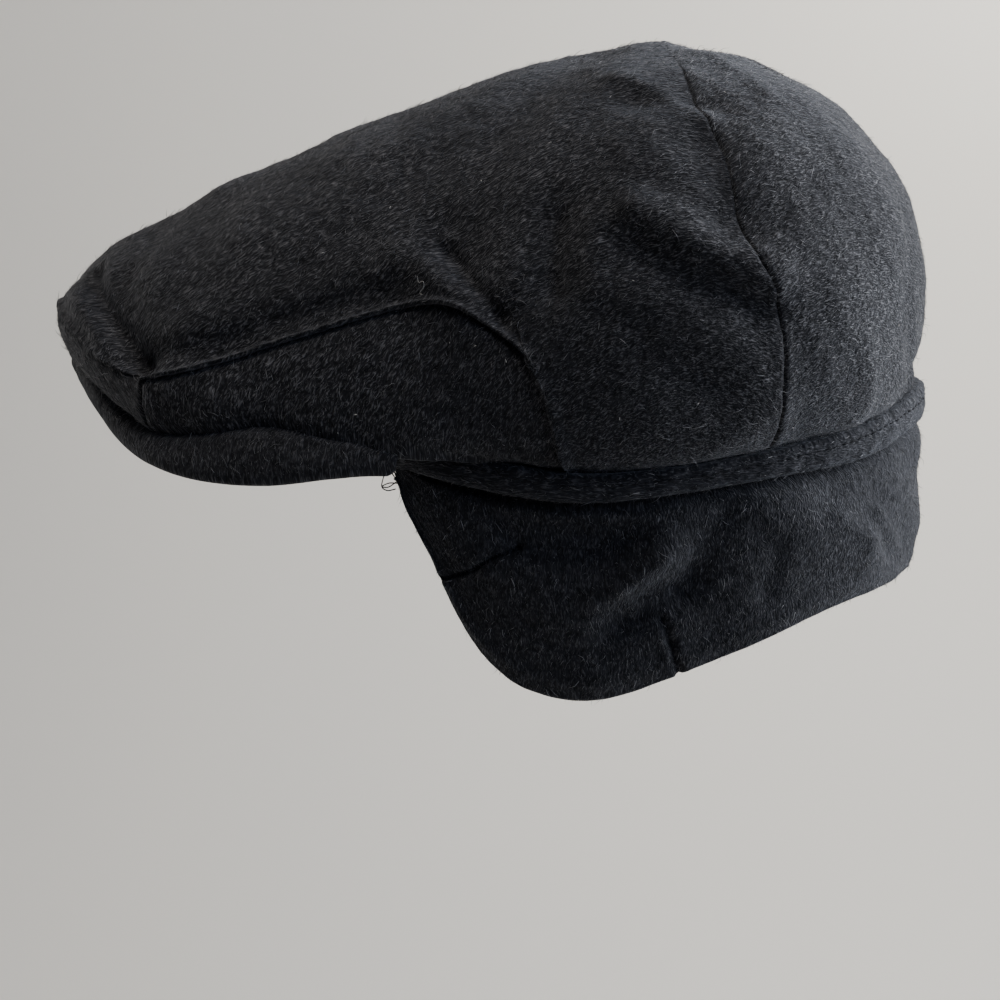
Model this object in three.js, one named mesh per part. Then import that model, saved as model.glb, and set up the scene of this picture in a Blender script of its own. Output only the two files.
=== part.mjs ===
// Earflap newsboy cap in brushed wool, in its worn form.
// A full crown is drawn forward over a short peak. A rolled band runs round the head
// opening, and one flap hangs below it over both ears and the nape.
// Millimetres, +Z up. The peak points to -X, the nape to +X, the wearer's left is -Y.
// The origin is the middle of the head opening, level with the band's lower edge at the ears.
import * as THREE from 'three';

// Driving sizes
const CLOTH = 2;
const SEAM_GAP = 0.5;
const SEAT_GAP = 0.4;
const APEX_X = 22;
const APEX_Z = 133.2;
const OPENING = { centreX: 1.5, halfLength: 106.5, halfWidth: 86 };
const BAND_WALL = 4;
const BAND_ROLL = 0.9;
const GATHER_DEPTH = 3;
const GATHER_ANGLE = 13;
const BAND_SHOULDER = 0.25;
const PEAK_THICKNESS = 3;
const NARROW_LIP = 2.5;
const WIDE_LIP = 10;
const LIP_BULGE = 0.35;
const LIP_END_ANGLE = 135;
const PEAK_END_ANGLE = 127;
const FLAP_END_ANGLE = 127.5;
const FLAP_HEM = 0.125;
const FOOT_TUCK = 0.9;

// Numbers of facets along each piece
const RAY_STEPS = 40;
const FOOT_STEPS = 12;
const CORONAL_STEPS = 12;
const FOOT_COLUMNS = 6;
const SIDE_COLUMNS = 16;
const BACK_COLUMNS = 10;
const SIDE_ROWS = 5;
const STRIP_ROWS = 3;
const PEAK_GUIDES = 12;
const PEAK_COLUMNS = 30;
const LIP_ROWS = 3;
const PEAK_ROWS = 7;
const BAND_COLUMNS = 60;
const FLAP_COLUMNS = 52;
const FLAP_ROWS = 8;
const HEM_SAMPLES = 400;

// The crown, one row for each ray that runs from its apex down to its foot. The angle is
// counted in plan from the nape (0) past the ear (90) to the peak (180). The crown is widest
// at reach and wideZ, then tucks in to its foot. Roundness and shoulder shape the dome.
const CROWN_RAYS = [
  // angle, reach, wideZ, footReach, footZ, roundness, shoulder
  [0, 86.0, 60, 84.0, 24.5, 1.95, 1.90],
  [22, 89.0, 60, 82.8, 22.8, 2.00, 1.95],
  [45, 93.0, 56, 80.0, 18.5, 2.10, 2.05],
  [68, 95.5, 50, 79.3, 14.8, 2.15, 2.10],
  [90, 96.5, 46, 82.0, 11.2, 2.15, 2.10],
  [109, 99.0, 41, 88.2, 9.5, 2.10, 2.00],
  [120, 104.5, 36, 94.0, 11.5, 2.05, 1.85],
  [135, 119.5, 27, 118.5, 16.5, 1.90, 1.65],
  [149, 148.0, 26, 147.0, 21.5, 1.78, 1.42],
  [159, 174.5, 34, 171.0, 21.0, 1.66, 1.26],
  [170, 191.5, 44, 186.0, 29.0, 1.58, 1.15],
  [180, 197.0, 49, 191.5, 34.0, 1.55, 1.12],
];

// Folds and dents of the crown, each along a line on the dome. Share is the part of the way
// from the apex to the foot. A height below zero is a dent.
const CROWN_FOLDS = [
  // fromAngle, fromShare, toAngle, toShare, width, height
  [180, 0.84, 171, 0.85, 16, 3.5],
  [169, 0.83, 160, 0.90, 7, -3.5],
  [135, 0.63, 128, 0.67, 8, -3.0],
  [128, 0.67, 121, 0.72, 7, -3.0],
  [138, 0.69, 123, 0.72, 10, 3.5],
  [114, 0.55, 113, 0.66, 8, -3.0],
  [98, 0.54, 86, 0.60, 8, 3.5],
  [86, 0.60, 72, 0.66, 8, 3.5],
  [98, 0.61, 75, 0.71, 9, -3.0],
  [95, 0.79, 83, 0.83, 10, -1.5],
  [100, 0.30, 82, 0.33, 8, -2.5],
  [109, 0.25, 82, 0.37, 6, 2.0],
  [83, 0.42, 79, 0.58, 8, -2.5],
  [0, 0.12, 0, 0.45, 7, -2.0],
  [0, 0.45, 0, 0.98, 8, -3.0],
];

// Seams of the crown as angle and share. The coronal seam crosses the dome from ear to ear.
const CORONAL_SEAM = [
  [84, 0], [84, 0.2], [82, 0.34], [78.5, 0.44], [78, 0.52], [77.5, 0.575], [75, 0.64],
  [72, 0.69], [70.5, 0.76], [70, 0.83], [69.5, 0.9], [68.5, 1],
];
const SIDE_SEAM = [
  [159, 0.925], [154, 0.895], [149, 0.855], [143, 0.81], [137, 0.765], [131, 0.738],
  [125, 0.733], [120, 0.748], [116, 0.785], [113, 0.835], [111, 0.89], [110, 0.94], [109, 1],
];
const FRONT_SEAM = [[180, 0.915], [170, 0.915], [164, 0.92], [159, 0.925]];

// Outer edge of the peak from its middle to its end, on its upper face
const PEAK_EDGE = [
  // x, y, z
  [-171.5, 0, 33.0], [-168.5, 15, 29.5], [-163.8, 30, 24.8], [-158, 42, 20.5],
  [-151.8, 52, 16.4], [-139.6, 66, 10.6], [-124.5, 75.5, 7.2], [-102.5, 83, 6.6],
  [-82, 85.5, 9], [-63, 85, 11],
];

// Upper face of the peak where it meets the band, and the band's lower edge. These angles
// run round the opening from the nape (0) to the forehead (180).
const PEAK_ROOT = [
  // angle, z
  [127, 13.8], [140, 18.5], [160, 25], [180, 27.5],
];
const BAND_LOWER_EDGE = [
  // angle, z
  [0, 13], [21, 11], [42, 7.5], [61, 5.6], [79, 2.2], [94, 0], [105, 1.6], [115, 4.2],
  [124, 6.9], [140, 11], [160, 17], [180, 20],
];

// The flap, one row for each place round the opening: the height of its lower edge, and how
// far its upper edge, middle and lower edge stand outside the opening's outline.
const FLAP_SECTIONS = [
  // angle, lowerZ, upperOut, middleOut, lowerOut
  [0, -37.5, -1.5, 0.5, -1.5],
  [20, -36.5, -1.5, 0.5, -0.5],
  [35, -36.5, -1.5, 1.0, 0.5],
  [45, -38.0, -1.5, 1.5, 0.5],
  [55, -42.0, -1.5, 1.0, -0.5],
  [65, -48.5, -1.5, 0.0, -2.5],
  [75, -55.0, -1.5, -1.0, -4.5],
  [85, -61.5, -1.5, -1.0, -5.5],
  [93, -64.0, -1.5, -1.0, -6.0],
  [101, -62.5, -1.5, -1.0, -6.0],
  [107.5, -57.0, -1.5, -1.5, -5.5],
  [113, -47.0, -1.5, -2.0, -5.0],
  [117, -35.0, -1.5, -2.0, -4.0],
  [121, -21.0, -1.5, -1.5, -3.0],
  [124.5, -9.0, -1.5, -1.5, -2.0],
  [127.5, 2.0, -1.5, -1.5, -1.5],
];

// Folds of the flap. Drop is the part of the way from its upper edge to its lower edge.
const FLAP_FOLDS = [
  // fromAngle, fromDrop, toAngle, toDrop, width, height
  [106, 0.24, 88, 0.22, 9, -3.5],
  [91, 0.47, 75, 0.23, 6, 3.5],
  [88, 0.64, 75, 0.50, 6, -3.0],
  [62, 0.20, 40, 0.60, 12, 3.0],
  [30, 0.35, 12, 0.70, 9, 2.0],
];

const UP = new THREE.Vector3(0, 0, 1);
const CHARCOAL = new THREE.Color(0x1f2024);
const PEAK_CHARCOAL = new THREE.Color(0x222327);
const BAND_CHARCOAL = new THREE.Color(0x1a1b1f);

function radians(degrees) {
  return THREE.MathUtils.degToRad(degrees);
}

// Smooth values between the rows of a table, whose first column is the position
function valuesAt(rows, position) {
  const last = rows.length - 1;
  let k = 0;
  while (k < last - 1 && position > rows[k + 1][0]) k += 1;
  const slope = (row, column) => {
    if (row === 0 || row === last) return 0;
    const before = rows[row][0] - rows[row - 1][0];
    const after = rows[row + 1][0] - rows[row][0];
    const rise = (rows[row][column] - rows[row - 1][column]) / before;
    const next = (rows[row + 1][column] - rows[row][column]) / after;
    return (rise * after + next * before) / (before + after);
  };
  const span = rows[k + 1][0] - rows[k][0];
  const u = THREE.MathUtils.clamp((position - rows[k][0]) / span, 0, 1);
  return rows[k].slice(1).map((value, index) => {
    const column = index + 1;
    return (1 + 2 * u) * (1 - u) ** 2 * value
      + u * (1 - u) ** 2 * span * slope(k, column)
      + u * u * (3 - 2 * u) * rows[k + 1][column]
      + u * u * (u - 1) * span * slope(k + 1, column);
  });
}

// Distance along one crown ray, as points of reach and height
function crownRay(angle) {
  const [reach, wideZ, footReach, footZ, roundness, shoulder] = valuesAt(CROWN_RAYS, angle);
  const points = [];
  for (let i = 0; i <= RAY_STEPS; i += 1) {
    const turn = (i / RAY_STEPS) * Math.PI / 2;
    const out = reach * Math.sin(turn) ** (2 / roundness);
    const up = wideZ + (APEX_Z - wideZ) * Math.abs(Math.cos(turn)) ** (2 / shoulder);
    points.push(new THREE.Vector2(out, up));
  }
  for (let i = 1; i <= FOOT_STEPS; i += 1) {
    const turn = (i / FOOT_STEPS) * Math.PI / 2;
    const out = footReach + (reach - footReach) * Math.abs(Math.cos(turn)) ** FOOT_TUCK;
    points.push(new THREE.Vector2(out, wideZ - (wideZ - footZ) * Math.sin(turn)));
  }
  return points;
}

function pointAlong(points, share) {
  const steps = points.slice(1).map((point, i) => point.distanceTo(points[i]));
  let left = share * steps.reduce((sum, step) => sum + step, 0);
  let k = 0;
  while (k < steps.length - 1 && left > steps[k]) {
    left -= steps[k];
    k += 1;
  }
  return points[k].clone().lerp(points[k + 1], Math.min(left / steps[k], 1));
}

// The smooth dome, before its folds, on the side where y is negative
function domePoint(angle, share) {
  const at = pointAlong(crownRay(angle), share);
  const turn = radians(angle);
  return new THREE.Vector3(APEX_X + at.x * Math.cos(turn), -at.x * Math.sin(turn), at.y);
}

function foldLines(rows, pointOn) {
  return rows.map(([a1, s1, a2, s2, width, height]) => (
    { line: new THREE.Line3(pointOn(a1, s1), pointOn(a2, s2)), width, height }));
}

// How far the folds lift the cloth at a point: the highest ridge there and the deepest dent
function foldLift(folds, point) {
  const nearest = new THREE.Vector3();
  const lifts = folds.map(({ line, width, height }) => {
    const away = line.closestPointToPoint(point, true, nearest).distanceTo(point) / width;
    return height * Math.exp(-away * away);
  });
  return Math.max(0, ...lifts) + Math.min(0, ...lifts);
}

function crossNormal(alongU, alongV, outward) {
  const normal = new THREE.Vector3().crossVectors(alongU, alongV).normalize();
  return normal.dot(outward) < 0 ? normal.negate() : normal;
}

// The crown over a disc: a place (p, q) lies hypot(p, q) of the way down the ray at its angle
const DISC_STEP = 0.01;
const crownFolds = foldLines(CROWN_FOLDS, domePoint);

function dome(p, q) {
  const angle = THREE.MathUtils.radToDeg(Math.atan2(Math.abs(q), p));
  const point = domePoint(angle, Math.min(Math.hypot(p, q), 1));
  if (q > 0) point.y = -point.y;
  return point;
}

function domeNormal(p, q) {
  const alongP = dome(p + DISC_STEP, q).sub(dome(p - DISC_STEP, q));
  const alongQ = dome(p, q + DISC_STEP).sub(dome(p, q - DISC_STEP));
  return crossNormal(alongP, alongQ, dome(p, q).sub(new THREE.Vector3(APEX_X, 0, 0)));
}

function crown(p, q) {
  const point = dome(p, q);
  const mirrored = new THREE.Vector3(point.x, -Math.abs(point.y), point.z);
  return point.addScaledVector(domeNormal(p, q), foldLift(crownFolds, mirrored));
}

function crownNormal(p, q) {
  const alongP = crown(p + DISC_STEP, q).sub(crown(p - DISC_STEP, q));
  const alongQ = crown(p, q + DISC_STEP).sub(crown(p, q - DISC_STEP));
  return crossNormal(alongP, alongQ, domeNormal(p, q));
}

// Disc places have q below zero on the wearer's left
function discPlace(angle, share) {
  const turn = radians(angle);
  return new THREE.Vector3(share * Math.cos(turn), -share * Math.sin(turn), 0);
}

function seamCurve(rows) {
  return new THREE.CatmullRomCurve3(rows.map(([angle, share]) => discPlace(angle, share)),
    false, 'centripetal');
}

const coronalSeam = seamCurve(CORONAL_SEAM);
const sideSeam = seamCurve(SIDE_SEAM);
const frontSeam = seamCurve(FRONT_SEAM);
const CORONAL_FOOT_ANGLE = CORONAL_SEAM.at(-1)[0];
const SIDE_FOOT_ANGLE = SIDE_SEAM.at(-1)[0];
const CORNER_ANGLE = SIDE_SEAM[0][0];

function footPlace(fromAngle, toAngle, part) {
  return discPlace(THREE.MathUtils.lerp(fromAngle, toAngle, part), 1);
}

// A grid of places inside four edges, each a list; the first two run the same way
function patch(first, last, start, end) {
  const rows = start.length - 1;
  const columns = first.length - 1;
  return start.map((_, i) => first.map((__, j) => {
    const u = i / rows;
    const v = j / columns;
    const place = first[j].clone().multiplyScalar(1 - u).addScaledVector(last[j], u);
    place.addScaledVector(start[i], 1 - v).addScaledVector(end[i], v);
    place.addScaledVector(first[0], -(1 - u) * (1 - v));
    place.addScaledVector(first[columns], -(1 - u) * v);
    place.addScaledVector(last[0], -u * (1 - v));
    return place.addScaledVector(last[columns], -u * v);
  }));
}

function listOf(steps, make) {
  return Array.from({ length: steps + 1 }, (_, i) => make(i / steps, i));
}

function mirrorPlace(place) {
  return new THREE.Vector3(place.x, -place.y, place.z);
}

// Grids of points and normals become one closed wall of cloth
function gridNormals(points, outward) {
  const clampIndex = (i, length) => THREE.MathUtils.clamp(i, 0, length - 1);
  return points.map((row, i) => row.map((point, j) => {
    const up = points[clampIndex(i + 1, points.length)][j];
    const down = points[clampIndex(i - 1, points.length)][j];
    const right = row[clampIndex(j + 1, row.length)];
    const left = row[clampIndex(j - 1, row.length)];
    return crossNormal(up.clone().sub(down), right.clone().sub(left), outward(point));
  }));
}

function pulledIn(points) {
  const rows = points.length - 1;
  const columns = points[0].length - 1;
  const result = points.map((row) => row.map((point) => point.clone()));
  const pull = (i, j, towardI, towardJ) => {
    const step = points[towardI][towardJ].clone().sub(points[i][j]);
    if (step.length() > SEAM_GAP) result[i][j].addScaledVector(step.normalize(), SEAM_GAP / 2);
  };
  for (let j = 0; j <= columns; j += 1) {
    pull(0, j, 1, j);
    pull(rows, j, rows - 1, j);
  }
  for (let i = 0; i <= rows; i += 1) {
    pull(i, 0, i, 1);
    pull(i, columns, i, columns - 1);
  }
  return result;
}

// A row or column of the grid that shrinks to one point is given one shared corner
function gathered(points, result) {
  const rows = points.length - 1;
  const columns = points[0].length - 1;
  const edges = [
    listOf(columns, (_, j) => [0, j]), listOf(columns, (_, j) => [rows, j]),
    listOf(rows, (_, i) => [i, 0]), listOf(rows, (_, i) => [i, columns]),
  ];
  edges.forEach((edge) => {
    const [i0, j0] = edge[0];
    if (!edge.every(([i, j]) => points[i][j].distanceTo(points[i0][j0]) < SEAM_GAP)) return;
    const middle = new THREE.Vector3();
    edge.forEach(([i, j]) => middle.addScaledVector(result[i][j], 1 / edge.length));
    edge.forEach(([i, j]) => result[i][j].copy(middle));
  });
  return result;
}

function wallGeometry(points, normals, thickness) {
  const outer = gathered(points, pulledIn(points));
  const inner = gathered(points, outer.map((row, i) => row.map((point, j) => (
    point.clone().addScaledVector(normals[i][j], -thickness)))));
  const rows = points.length - 1;
  const columns = points[0].length - 1;
  const triangles = [];
  const quad = (a, b, c, d) => {
    if (a.distanceTo(c) < b.distanceTo(d)) triangles.push([a, b, c], [a, c, d]);
    else triangles.push([a, b, d], [b, c, d]);
  };
  for (let i = 0; i < rows; i += 1) {
    for (let j = 0; j < columns; j += 1) {
      quad(outer[i][j], outer[i + 1][j], outer[i + 1][j + 1], outer[i][j + 1]);
      quad(inner[i][j], inner[i][j + 1], inner[i + 1][j + 1], inner[i + 1][j]);
    }
  }
  for (let j = 0; j < columns; j += 1) {
    quad(outer[0][j], outer[0][j + 1], inner[0][j + 1], inner[0][j]);
    quad(outer[rows][j + 1], outer[rows][j], inner[rows][j], inner[rows][j + 1]);
  }
  for (let i = 0; i < rows; i += 1) {
    quad(outer[i + 1][0], outer[i][0], inner[i][0], inner[i + 1][0]);
    quad(outer[i][columns], outer[i + 1][columns], inner[i + 1][columns], inner[i][columns]);
  }
  return closedGeometry(triangles);
}

// Shared corners are merged, empty triangles dropped, and the faces turned outward
function closedGeometry(triangles) {
  const places = new Map();
  const positions = [];
  const indexOf = (point) => {
    const key = point.toArray().map((value) => value.toFixed(4)).join(' ');
    if (!places.has(key)) {
      places.set(key, places.size);
      positions.push(point.x, point.y, point.z);
    }
    return places.get(key);
  };
  const faces = triangles.map((corners) => corners.map(indexOf))
    .filter(([a, b, c]) => a !== b && b !== c && a !== c);
  const volume = triangles.reduce((sum, [a, b, c]) => (
    sum + a.dot(new THREE.Vector3().crossVectors(b, c))), 0);
  if (volume < 0) faces.forEach((face) => face.reverse());
  const geometry = new THREE.BufferGeometry();
  geometry.setAttribute('position', new THREE.Float32BufferAttribute(positions, 3));
  geometry.setIndex(faces.flat());
  geometry.computeVertexNormals();
  return geometry;
}

function crownPanel(places) {
  const points = places.map((row) => row.map(({ x, y }) => crown(x, y)));
  const normals = places.map((row) => row.map(({ x, y }) => crownNormal(x, y)));
  return wallGeometry(points, normals, CLOTH);
}

// The panel from the coronal seam forward to the front edge, both sides in one piece
function topPanel() {
  const middle = (part) => new THREE.Vector3(part * frontSeam.getPointAt(0).x, 0, 0);
  const columns = FOOT_COLUMNS + SIDE_COLUMNS;
  const rim = listOf(columns, (_, i) => (i < FOOT_COLUMNS
    ? footPlace(CORONAL_FOOT_ANGLE, SIDE_FOOT_ANGLE, i / FOOT_COLUMNS)
    : sideSeam.getPointAt(1 - (i - FOOT_COLUMNS) / SIDE_COLUMNS)));
  const ridge = listOf(columns, middle);
  const back = listOf(CORONAL_STEPS, (part) => coronalSeam.getPointAt(part));
  const front = listOf(CORONAL_STEPS, (part) => frontSeam.getPointAt(part));
  const left = patch(back, front, ridge, rim);
  const whole = left.map((row) => [...row.slice(1).reverse().map(mirrorPlace), ...row]);
  return crownPanel(whole);
}

// One of the two panels behind the coronal seam, which meet in the centre back seam
function backPanel(side) {
  const apex = discPlace(0, 0);
  const seam = listOf(CORONAL_STEPS, (part) => coronalSeam.getPointAt(part));
  const centre = listOf(CORONAL_STEPS, (part) => discPlace(0, part));
  const foot = listOf(BACK_COLUMNS, (part) => footPlace(CORONAL_FOOT_ANGLE, 0, part));
  const top = listOf(BACK_COLUMNS, () => apex);
  const places = patch(top, foot, seam, centre);
  return crownPanel(side < 0 ? places : places.map((row) => row.map(mirrorPlace)));
}

// The crescent below the side seam, from the front corner back to the ear
function sidePanel(side) {
  const places = listOf(SIDE_COLUMNS, (part) => {
    const upper = sideSeam.getPointAt(part);
    const lower = footPlace(CORNER_ANGLE, SIDE_FOOT_ANGLE, part);
    return listOf(SIDE_ROWS, (down) => {
      const place = upper.clone().lerp(lower, down);
      const share = THREE.MathUtils.lerp(upper.length(), 1, down);
      return place.setLength(share);
    });
  });
  return crownPanel(side < 0 ? places : places.map((row) => row.map(mirrorPlace)));
}

// The narrow strip under the front edge, between the two mitred corners
function frontStrip() {
  const half = listOf(CORONAL_STEPS, (part) => {
    const upper = frontSeam.getPointAt(part);
    const angle = THREE.MathUtils.radToDeg(Math.atan2(-upper.y, upper.x));
    return listOf(STRIP_ROWS, (down) => (
      discPlace(angle, THREE.MathUtils.lerp(upper.length(), 1, down))));
  });
  const mirrored = half.slice(1).reverse().map((row) => row.map(mirrorPlace));
  return crownPanel([...mirrored, ...half]);
}

// A place round the opening, out from the outline of the band's outer face
function openingPoint(angle, out, z) {
  const turn = radians(angle);
  const x = OPENING.centreX + (OPENING.halfLength + out) * Math.cos(turn);
  return new THREE.Vector3(x, -(OPENING.halfWidth + out) * Math.sin(turn), z);
}

function bandLowerZ(angle) {
  return valuesAt(BAND_LOWER_EDGE, Math.abs(angle))[0];
}

// The crown's foot rests on the band's upper edge
function bandUpperZ(angle) {
  const at = openingPoint(Math.abs(angle), -BAND_WALL / 2, 0);
  const ray = THREE.MathUtils.radToDeg(Math.atan2(-at.y, at.x - APEX_X));
  return valuesAt(CROWN_RAYS, ray)[3] - SEAT_GAP;
}

function bandSection(angle) {
  const low = bandLowerZ(angle);
  const high = bandUpperZ(angle);
  const roll = BAND_ROLL + GATHER_DEPTH * Math.exp(-((angle / GATHER_ANGLE) ** 2));
  const shoulder = (high - low) * BAND_SHOULDER;
  return [
    openingPoint(angle, -BAND_WALL, low), openingPoint(angle, -BAND_ROLL, low),
    openingPoint(angle, roll, low + shoulder), openingPoint(angle, roll, high - shoulder),
    openingPoint(angle, -BAND_ROLL, high), openingPoint(angle, -BAND_WALL, high),
  ];
}

function band() {
  const sections = Array.from({ length: BAND_COLUMNS }, (_, i) => (
    bandSection(180 - (i * 360) / BAND_COLUMNS)));
  const triangles = [];
  sections.forEach((section, i) => {
    const next = sections[(i + 1) % BAND_COLUMNS];
    section.forEach((point, k) => {
      const k1 = (k + 1) % section.length;
      triangles.push([point, next[k], next[k1]], [point, next[k1], section[k1]]);
    });
  });
  return closedGeometry(triangles);
}

// A curve across the whole peak, from half of its points, middle first
function acrossPeak(half) {
  const other = half.slice(1).map(mirrorPlace);
  return new THREE.CatmullRomCurve3([...half.slice(1).reverse(), half[0], ...other],
    false, 'centripetal');
}

// The lip is so narrow at the front that the peak's own slope sets its thickness there
function peakNormals(points) {
  return points.map((row, i) => {
    const along = points[Math.min(i + 1, PEAK_COLUMNS)][LIP_ROWS].clone()
      .sub(points[Math.max(i - 1, 0)][LIP_ROWS]);
    const inward = row[PEAK_ROWS].clone().sub(row[LIP_ROWS]).normalize();
    const lip = row[LIP_ROWS].clone().sub(row[0]);
    const lipShare = THREE.MathUtils.smoothstep(lip.length(), NARROW_LIP, WIDE_LIP);
    const acrossLip = inward.clone().lerp(lip.normalize(), lipShare);
    return row.map((_, k) => {
      const part = THREE.MathUtils.clamp(k / LIP_ROWS - 0.5, 0, 1);
      return crossNormal(along, acrossLip.clone().lerp(inward, part), UP);
    });
  });
}

function peak() {
  const edge = acrossPeak(PEAK_EDGE.map(([x, y, z]) => new THREE.Vector3(x, -y, z)));
  const under = acrossPeak(listOf(PEAK_GUIDES, (part) => {
    const place = footPlace(180, LIP_END_ANGLE, part);
    return crown(place.x, place.y).sub(new THREE.Vector3(0, 0, SEAT_GAP));
  }));
  const root = acrossPeak(listOf(PEAK_GUIDES, (part) => {
    const angle = THREE.MathUtils.lerp(180, PEAK_END_ANGLE, part);
    return openingPoint(angle, BAND_ROLL + SEAT_GAP, valuesAt(PEAK_ROOT, angle)[0]);
  }));
  const points = listOf(PEAK_COLUMNS, (part) => {
    const outer = edge.getPointAt(part);
    const rest = under.getPointAt(part);
    const inner = root.getPointAt(part);
    return listOf(PEAK_ROWS, (_, k) => {
      if (k > LIP_ROWS) return rest.clone().lerp(inner, (k - LIP_ROWS) / (PEAK_ROWS - LIP_ROWS));
      const down = k / LIP_ROWS;
      const bulge = LIP_BULGE * down * (1 - down) * outer.distanceTo(rest);
      const point = outer.clone().lerp(rest, down);
      const out = new THREE.Vector3(point.x - OPENING.centreX, point.y, 0).normalize();
      return point.addScaledVector(out, bulge);
    });
  });
  return wallGeometry(points, peakNormals(points), PEAK_THICKNESS);
}

function flapPlain(angle, drop) {
  const [lowerZ, upperOut, middleOut, lowerOut] = valuesAt(FLAP_SECTIONS, Math.abs(angle));
  const upperZ = bandLowerZ(angle) - SEAT_GAP;
  const toMiddle = (1 - drop) ** 2 * upperOut + drop ** 2 * lowerOut;
  const out = toMiddle + 2 * drop * (1 - drop) * (2 * middleOut - (upperOut + lowerOut) / 2);
  return openingPoint(angle, out, THREE.MathUtils.lerp(upperZ, lowerZ, drop));
}

const flapFolds = foldLines(FLAP_FOLDS, flapPlain);

// Columns of the flap are spread evenly along its lower edge, from one front end to the other
function flap() {
  const samples = listOf(HEM_SAMPLES, (part) => {
    const angle = THREE.MathUtils.lerp(-FLAP_END_ANGLE, FLAP_END_ANGLE, part);
    return { angle, point: flapPlain(angle, 1) };
  });
  const lengths = [0];
  samples.slice(1).forEach(({ point }, i) => {
    lengths.push(lengths[i] + point.distanceTo(samples[i].point));
  });
  const total = lengths.at(-1);
  const points = listOf(FLAP_COLUMNS, (part) => {
    const k = Math.min(lengths.findIndex((length) => length >= part * total), lengths.length - 1);
    const { angle } = samples[k];
    return listOf(FLAP_ROWS, (drop) => {
      const point = flapPlain(angle, drop);
      const mirrored = new THREE.Vector3(point.x, -Math.abs(point.y), point.z);
      const out = new THREE.Vector3(point.x - OPENING.centreX, point.y, 0).normalize();
      const folding = Math.min(1, drop / FLAP_HEM);
      return point.addScaledVector(out, folding * foldLift(flapFolds, mirrored));
    });
  });
  const outward = (point) => new THREE.Vector3(point.x - OPENING.centreX, point.y, 0);
  return wallGeometry(points, gridNormals(points, outward), CLOTH);
}

function wool(color) {
  return new THREE.MeshStandardMaterial({ color, roughness: 0.95, metalness: 0 });
}

function addPiece(group, name, geometry, color) {
  const mesh = new THREE.Mesh(geometry, wool(color));
  mesh.name = name;
  group.add(mesh);
}

const LEFT = -1;
const RIGHT = 1;
const cap = new THREE.Group();
addPiece(cap, 'top_panel', topPanel(), CHARCOAL);
addPiece(cap, 'back_panel_left', backPanel(LEFT), CHARCOAL);
addPiece(cap, 'back_panel_right', backPanel(RIGHT), CHARCOAL);
addPiece(cap, 'side_panel_left', sidePanel(LEFT), CHARCOAL);
addPiece(cap, 'side_panel_right', sidePanel(RIGHT), CHARCOAL);
addPiece(cap, 'front_strip', frontStrip(), CHARCOAL);
addPiece(cap, 'peak', peak(), PEAK_CHARCOAL);
addPiece(cap, 'band', band(), BAND_CHARCOAL);
addPiece(cap, 'flap', flap(), CHARCOAL);

export default cap;
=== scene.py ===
import math

import bmesh
import bpy
import numpy as np
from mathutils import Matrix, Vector


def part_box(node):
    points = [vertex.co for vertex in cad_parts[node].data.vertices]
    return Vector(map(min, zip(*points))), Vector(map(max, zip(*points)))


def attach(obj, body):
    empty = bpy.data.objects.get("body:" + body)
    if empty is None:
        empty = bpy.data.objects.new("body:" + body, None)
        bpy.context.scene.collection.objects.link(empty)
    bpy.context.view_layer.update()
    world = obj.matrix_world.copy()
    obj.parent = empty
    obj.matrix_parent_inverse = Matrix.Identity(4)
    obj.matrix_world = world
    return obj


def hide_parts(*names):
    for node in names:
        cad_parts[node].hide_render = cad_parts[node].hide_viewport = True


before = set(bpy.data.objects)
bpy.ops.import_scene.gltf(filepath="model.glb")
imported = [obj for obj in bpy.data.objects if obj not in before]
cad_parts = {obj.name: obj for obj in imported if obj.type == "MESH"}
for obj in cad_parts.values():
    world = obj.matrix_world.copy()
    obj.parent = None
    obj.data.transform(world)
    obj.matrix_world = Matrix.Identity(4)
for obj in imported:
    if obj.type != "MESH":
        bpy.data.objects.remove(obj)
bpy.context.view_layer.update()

# Shapes are worked out in millimetres, and each mesh is written in metres
MM = 0.001

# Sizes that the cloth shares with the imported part
CLOTH = 2.0
SEAT_GAP = 0.4
APEX_X = 22.0
APEX_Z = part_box("top_panel")[1].z / MM
OPENING_X, OPENING_LENGTH, OPENING_WIDTH = 1.5, 106.5, 86.0
BAND_WALL = 4.0
BAND_ROLL = 0.9
GATHER_DEPTH = 3.0
GATHER_ANGLE = 13.0
PEAK_THICKNESS = 3.0
NARROW_LIP, WIDE_LIP = 2.5, 10.0
LIP_BULGE = 0.35
LIP_END_ANGLE = 135.0
PEAK_END_ANGLE = 127.0
FLAP_END_ANGLE = 127.5
FLAP_HEM = 0.125
FLAP_TUCK = 0.6
FOOT_TUCK = 0.9

# The crown's rays, from its apex down to its foot. Angles run from the nape (0) to the peak (180)
CROWN_RAYS = [
    # angle, reach, wide_z, foot_reach, foot_z, roundness, shoulder
    (0, 86.0, 60, 84.0, 24.5, 1.95, 1.90),
    (22, 89.0, 60, 82.8, 22.8, 2.00, 1.95),
    (45, 93.0, 56, 80.0, 18.5, 2.10, 2.05),
    (68, 95.5, 50, 79.3, 14.8, 2.15, 2.10),
    (90, 96.5, 46, 82.0, 11.2, 2.15, 2.10),
    (109, 99.0, 41, 88.2, 9.5, 2.10, 2.00),
    (120, 104.5, 36, 94.0, 11.5, 2.05, 1.85),
    (135, 119.5, 27, 118.5, 16.5, 1.90, 1.65),
    (149, 148.0, 26, 147.0, 21.5, 1.78, 1.42),
    (159, 174.5, 34, 171.0, 18.0, 1.66, 1.26),
    (170, 191.5, 44, 186.0, 31.5, 1.58, 1.15),
    (180, 197.0, 49, 191.5, 34.0, 1.55, 1.12),
]

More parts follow.
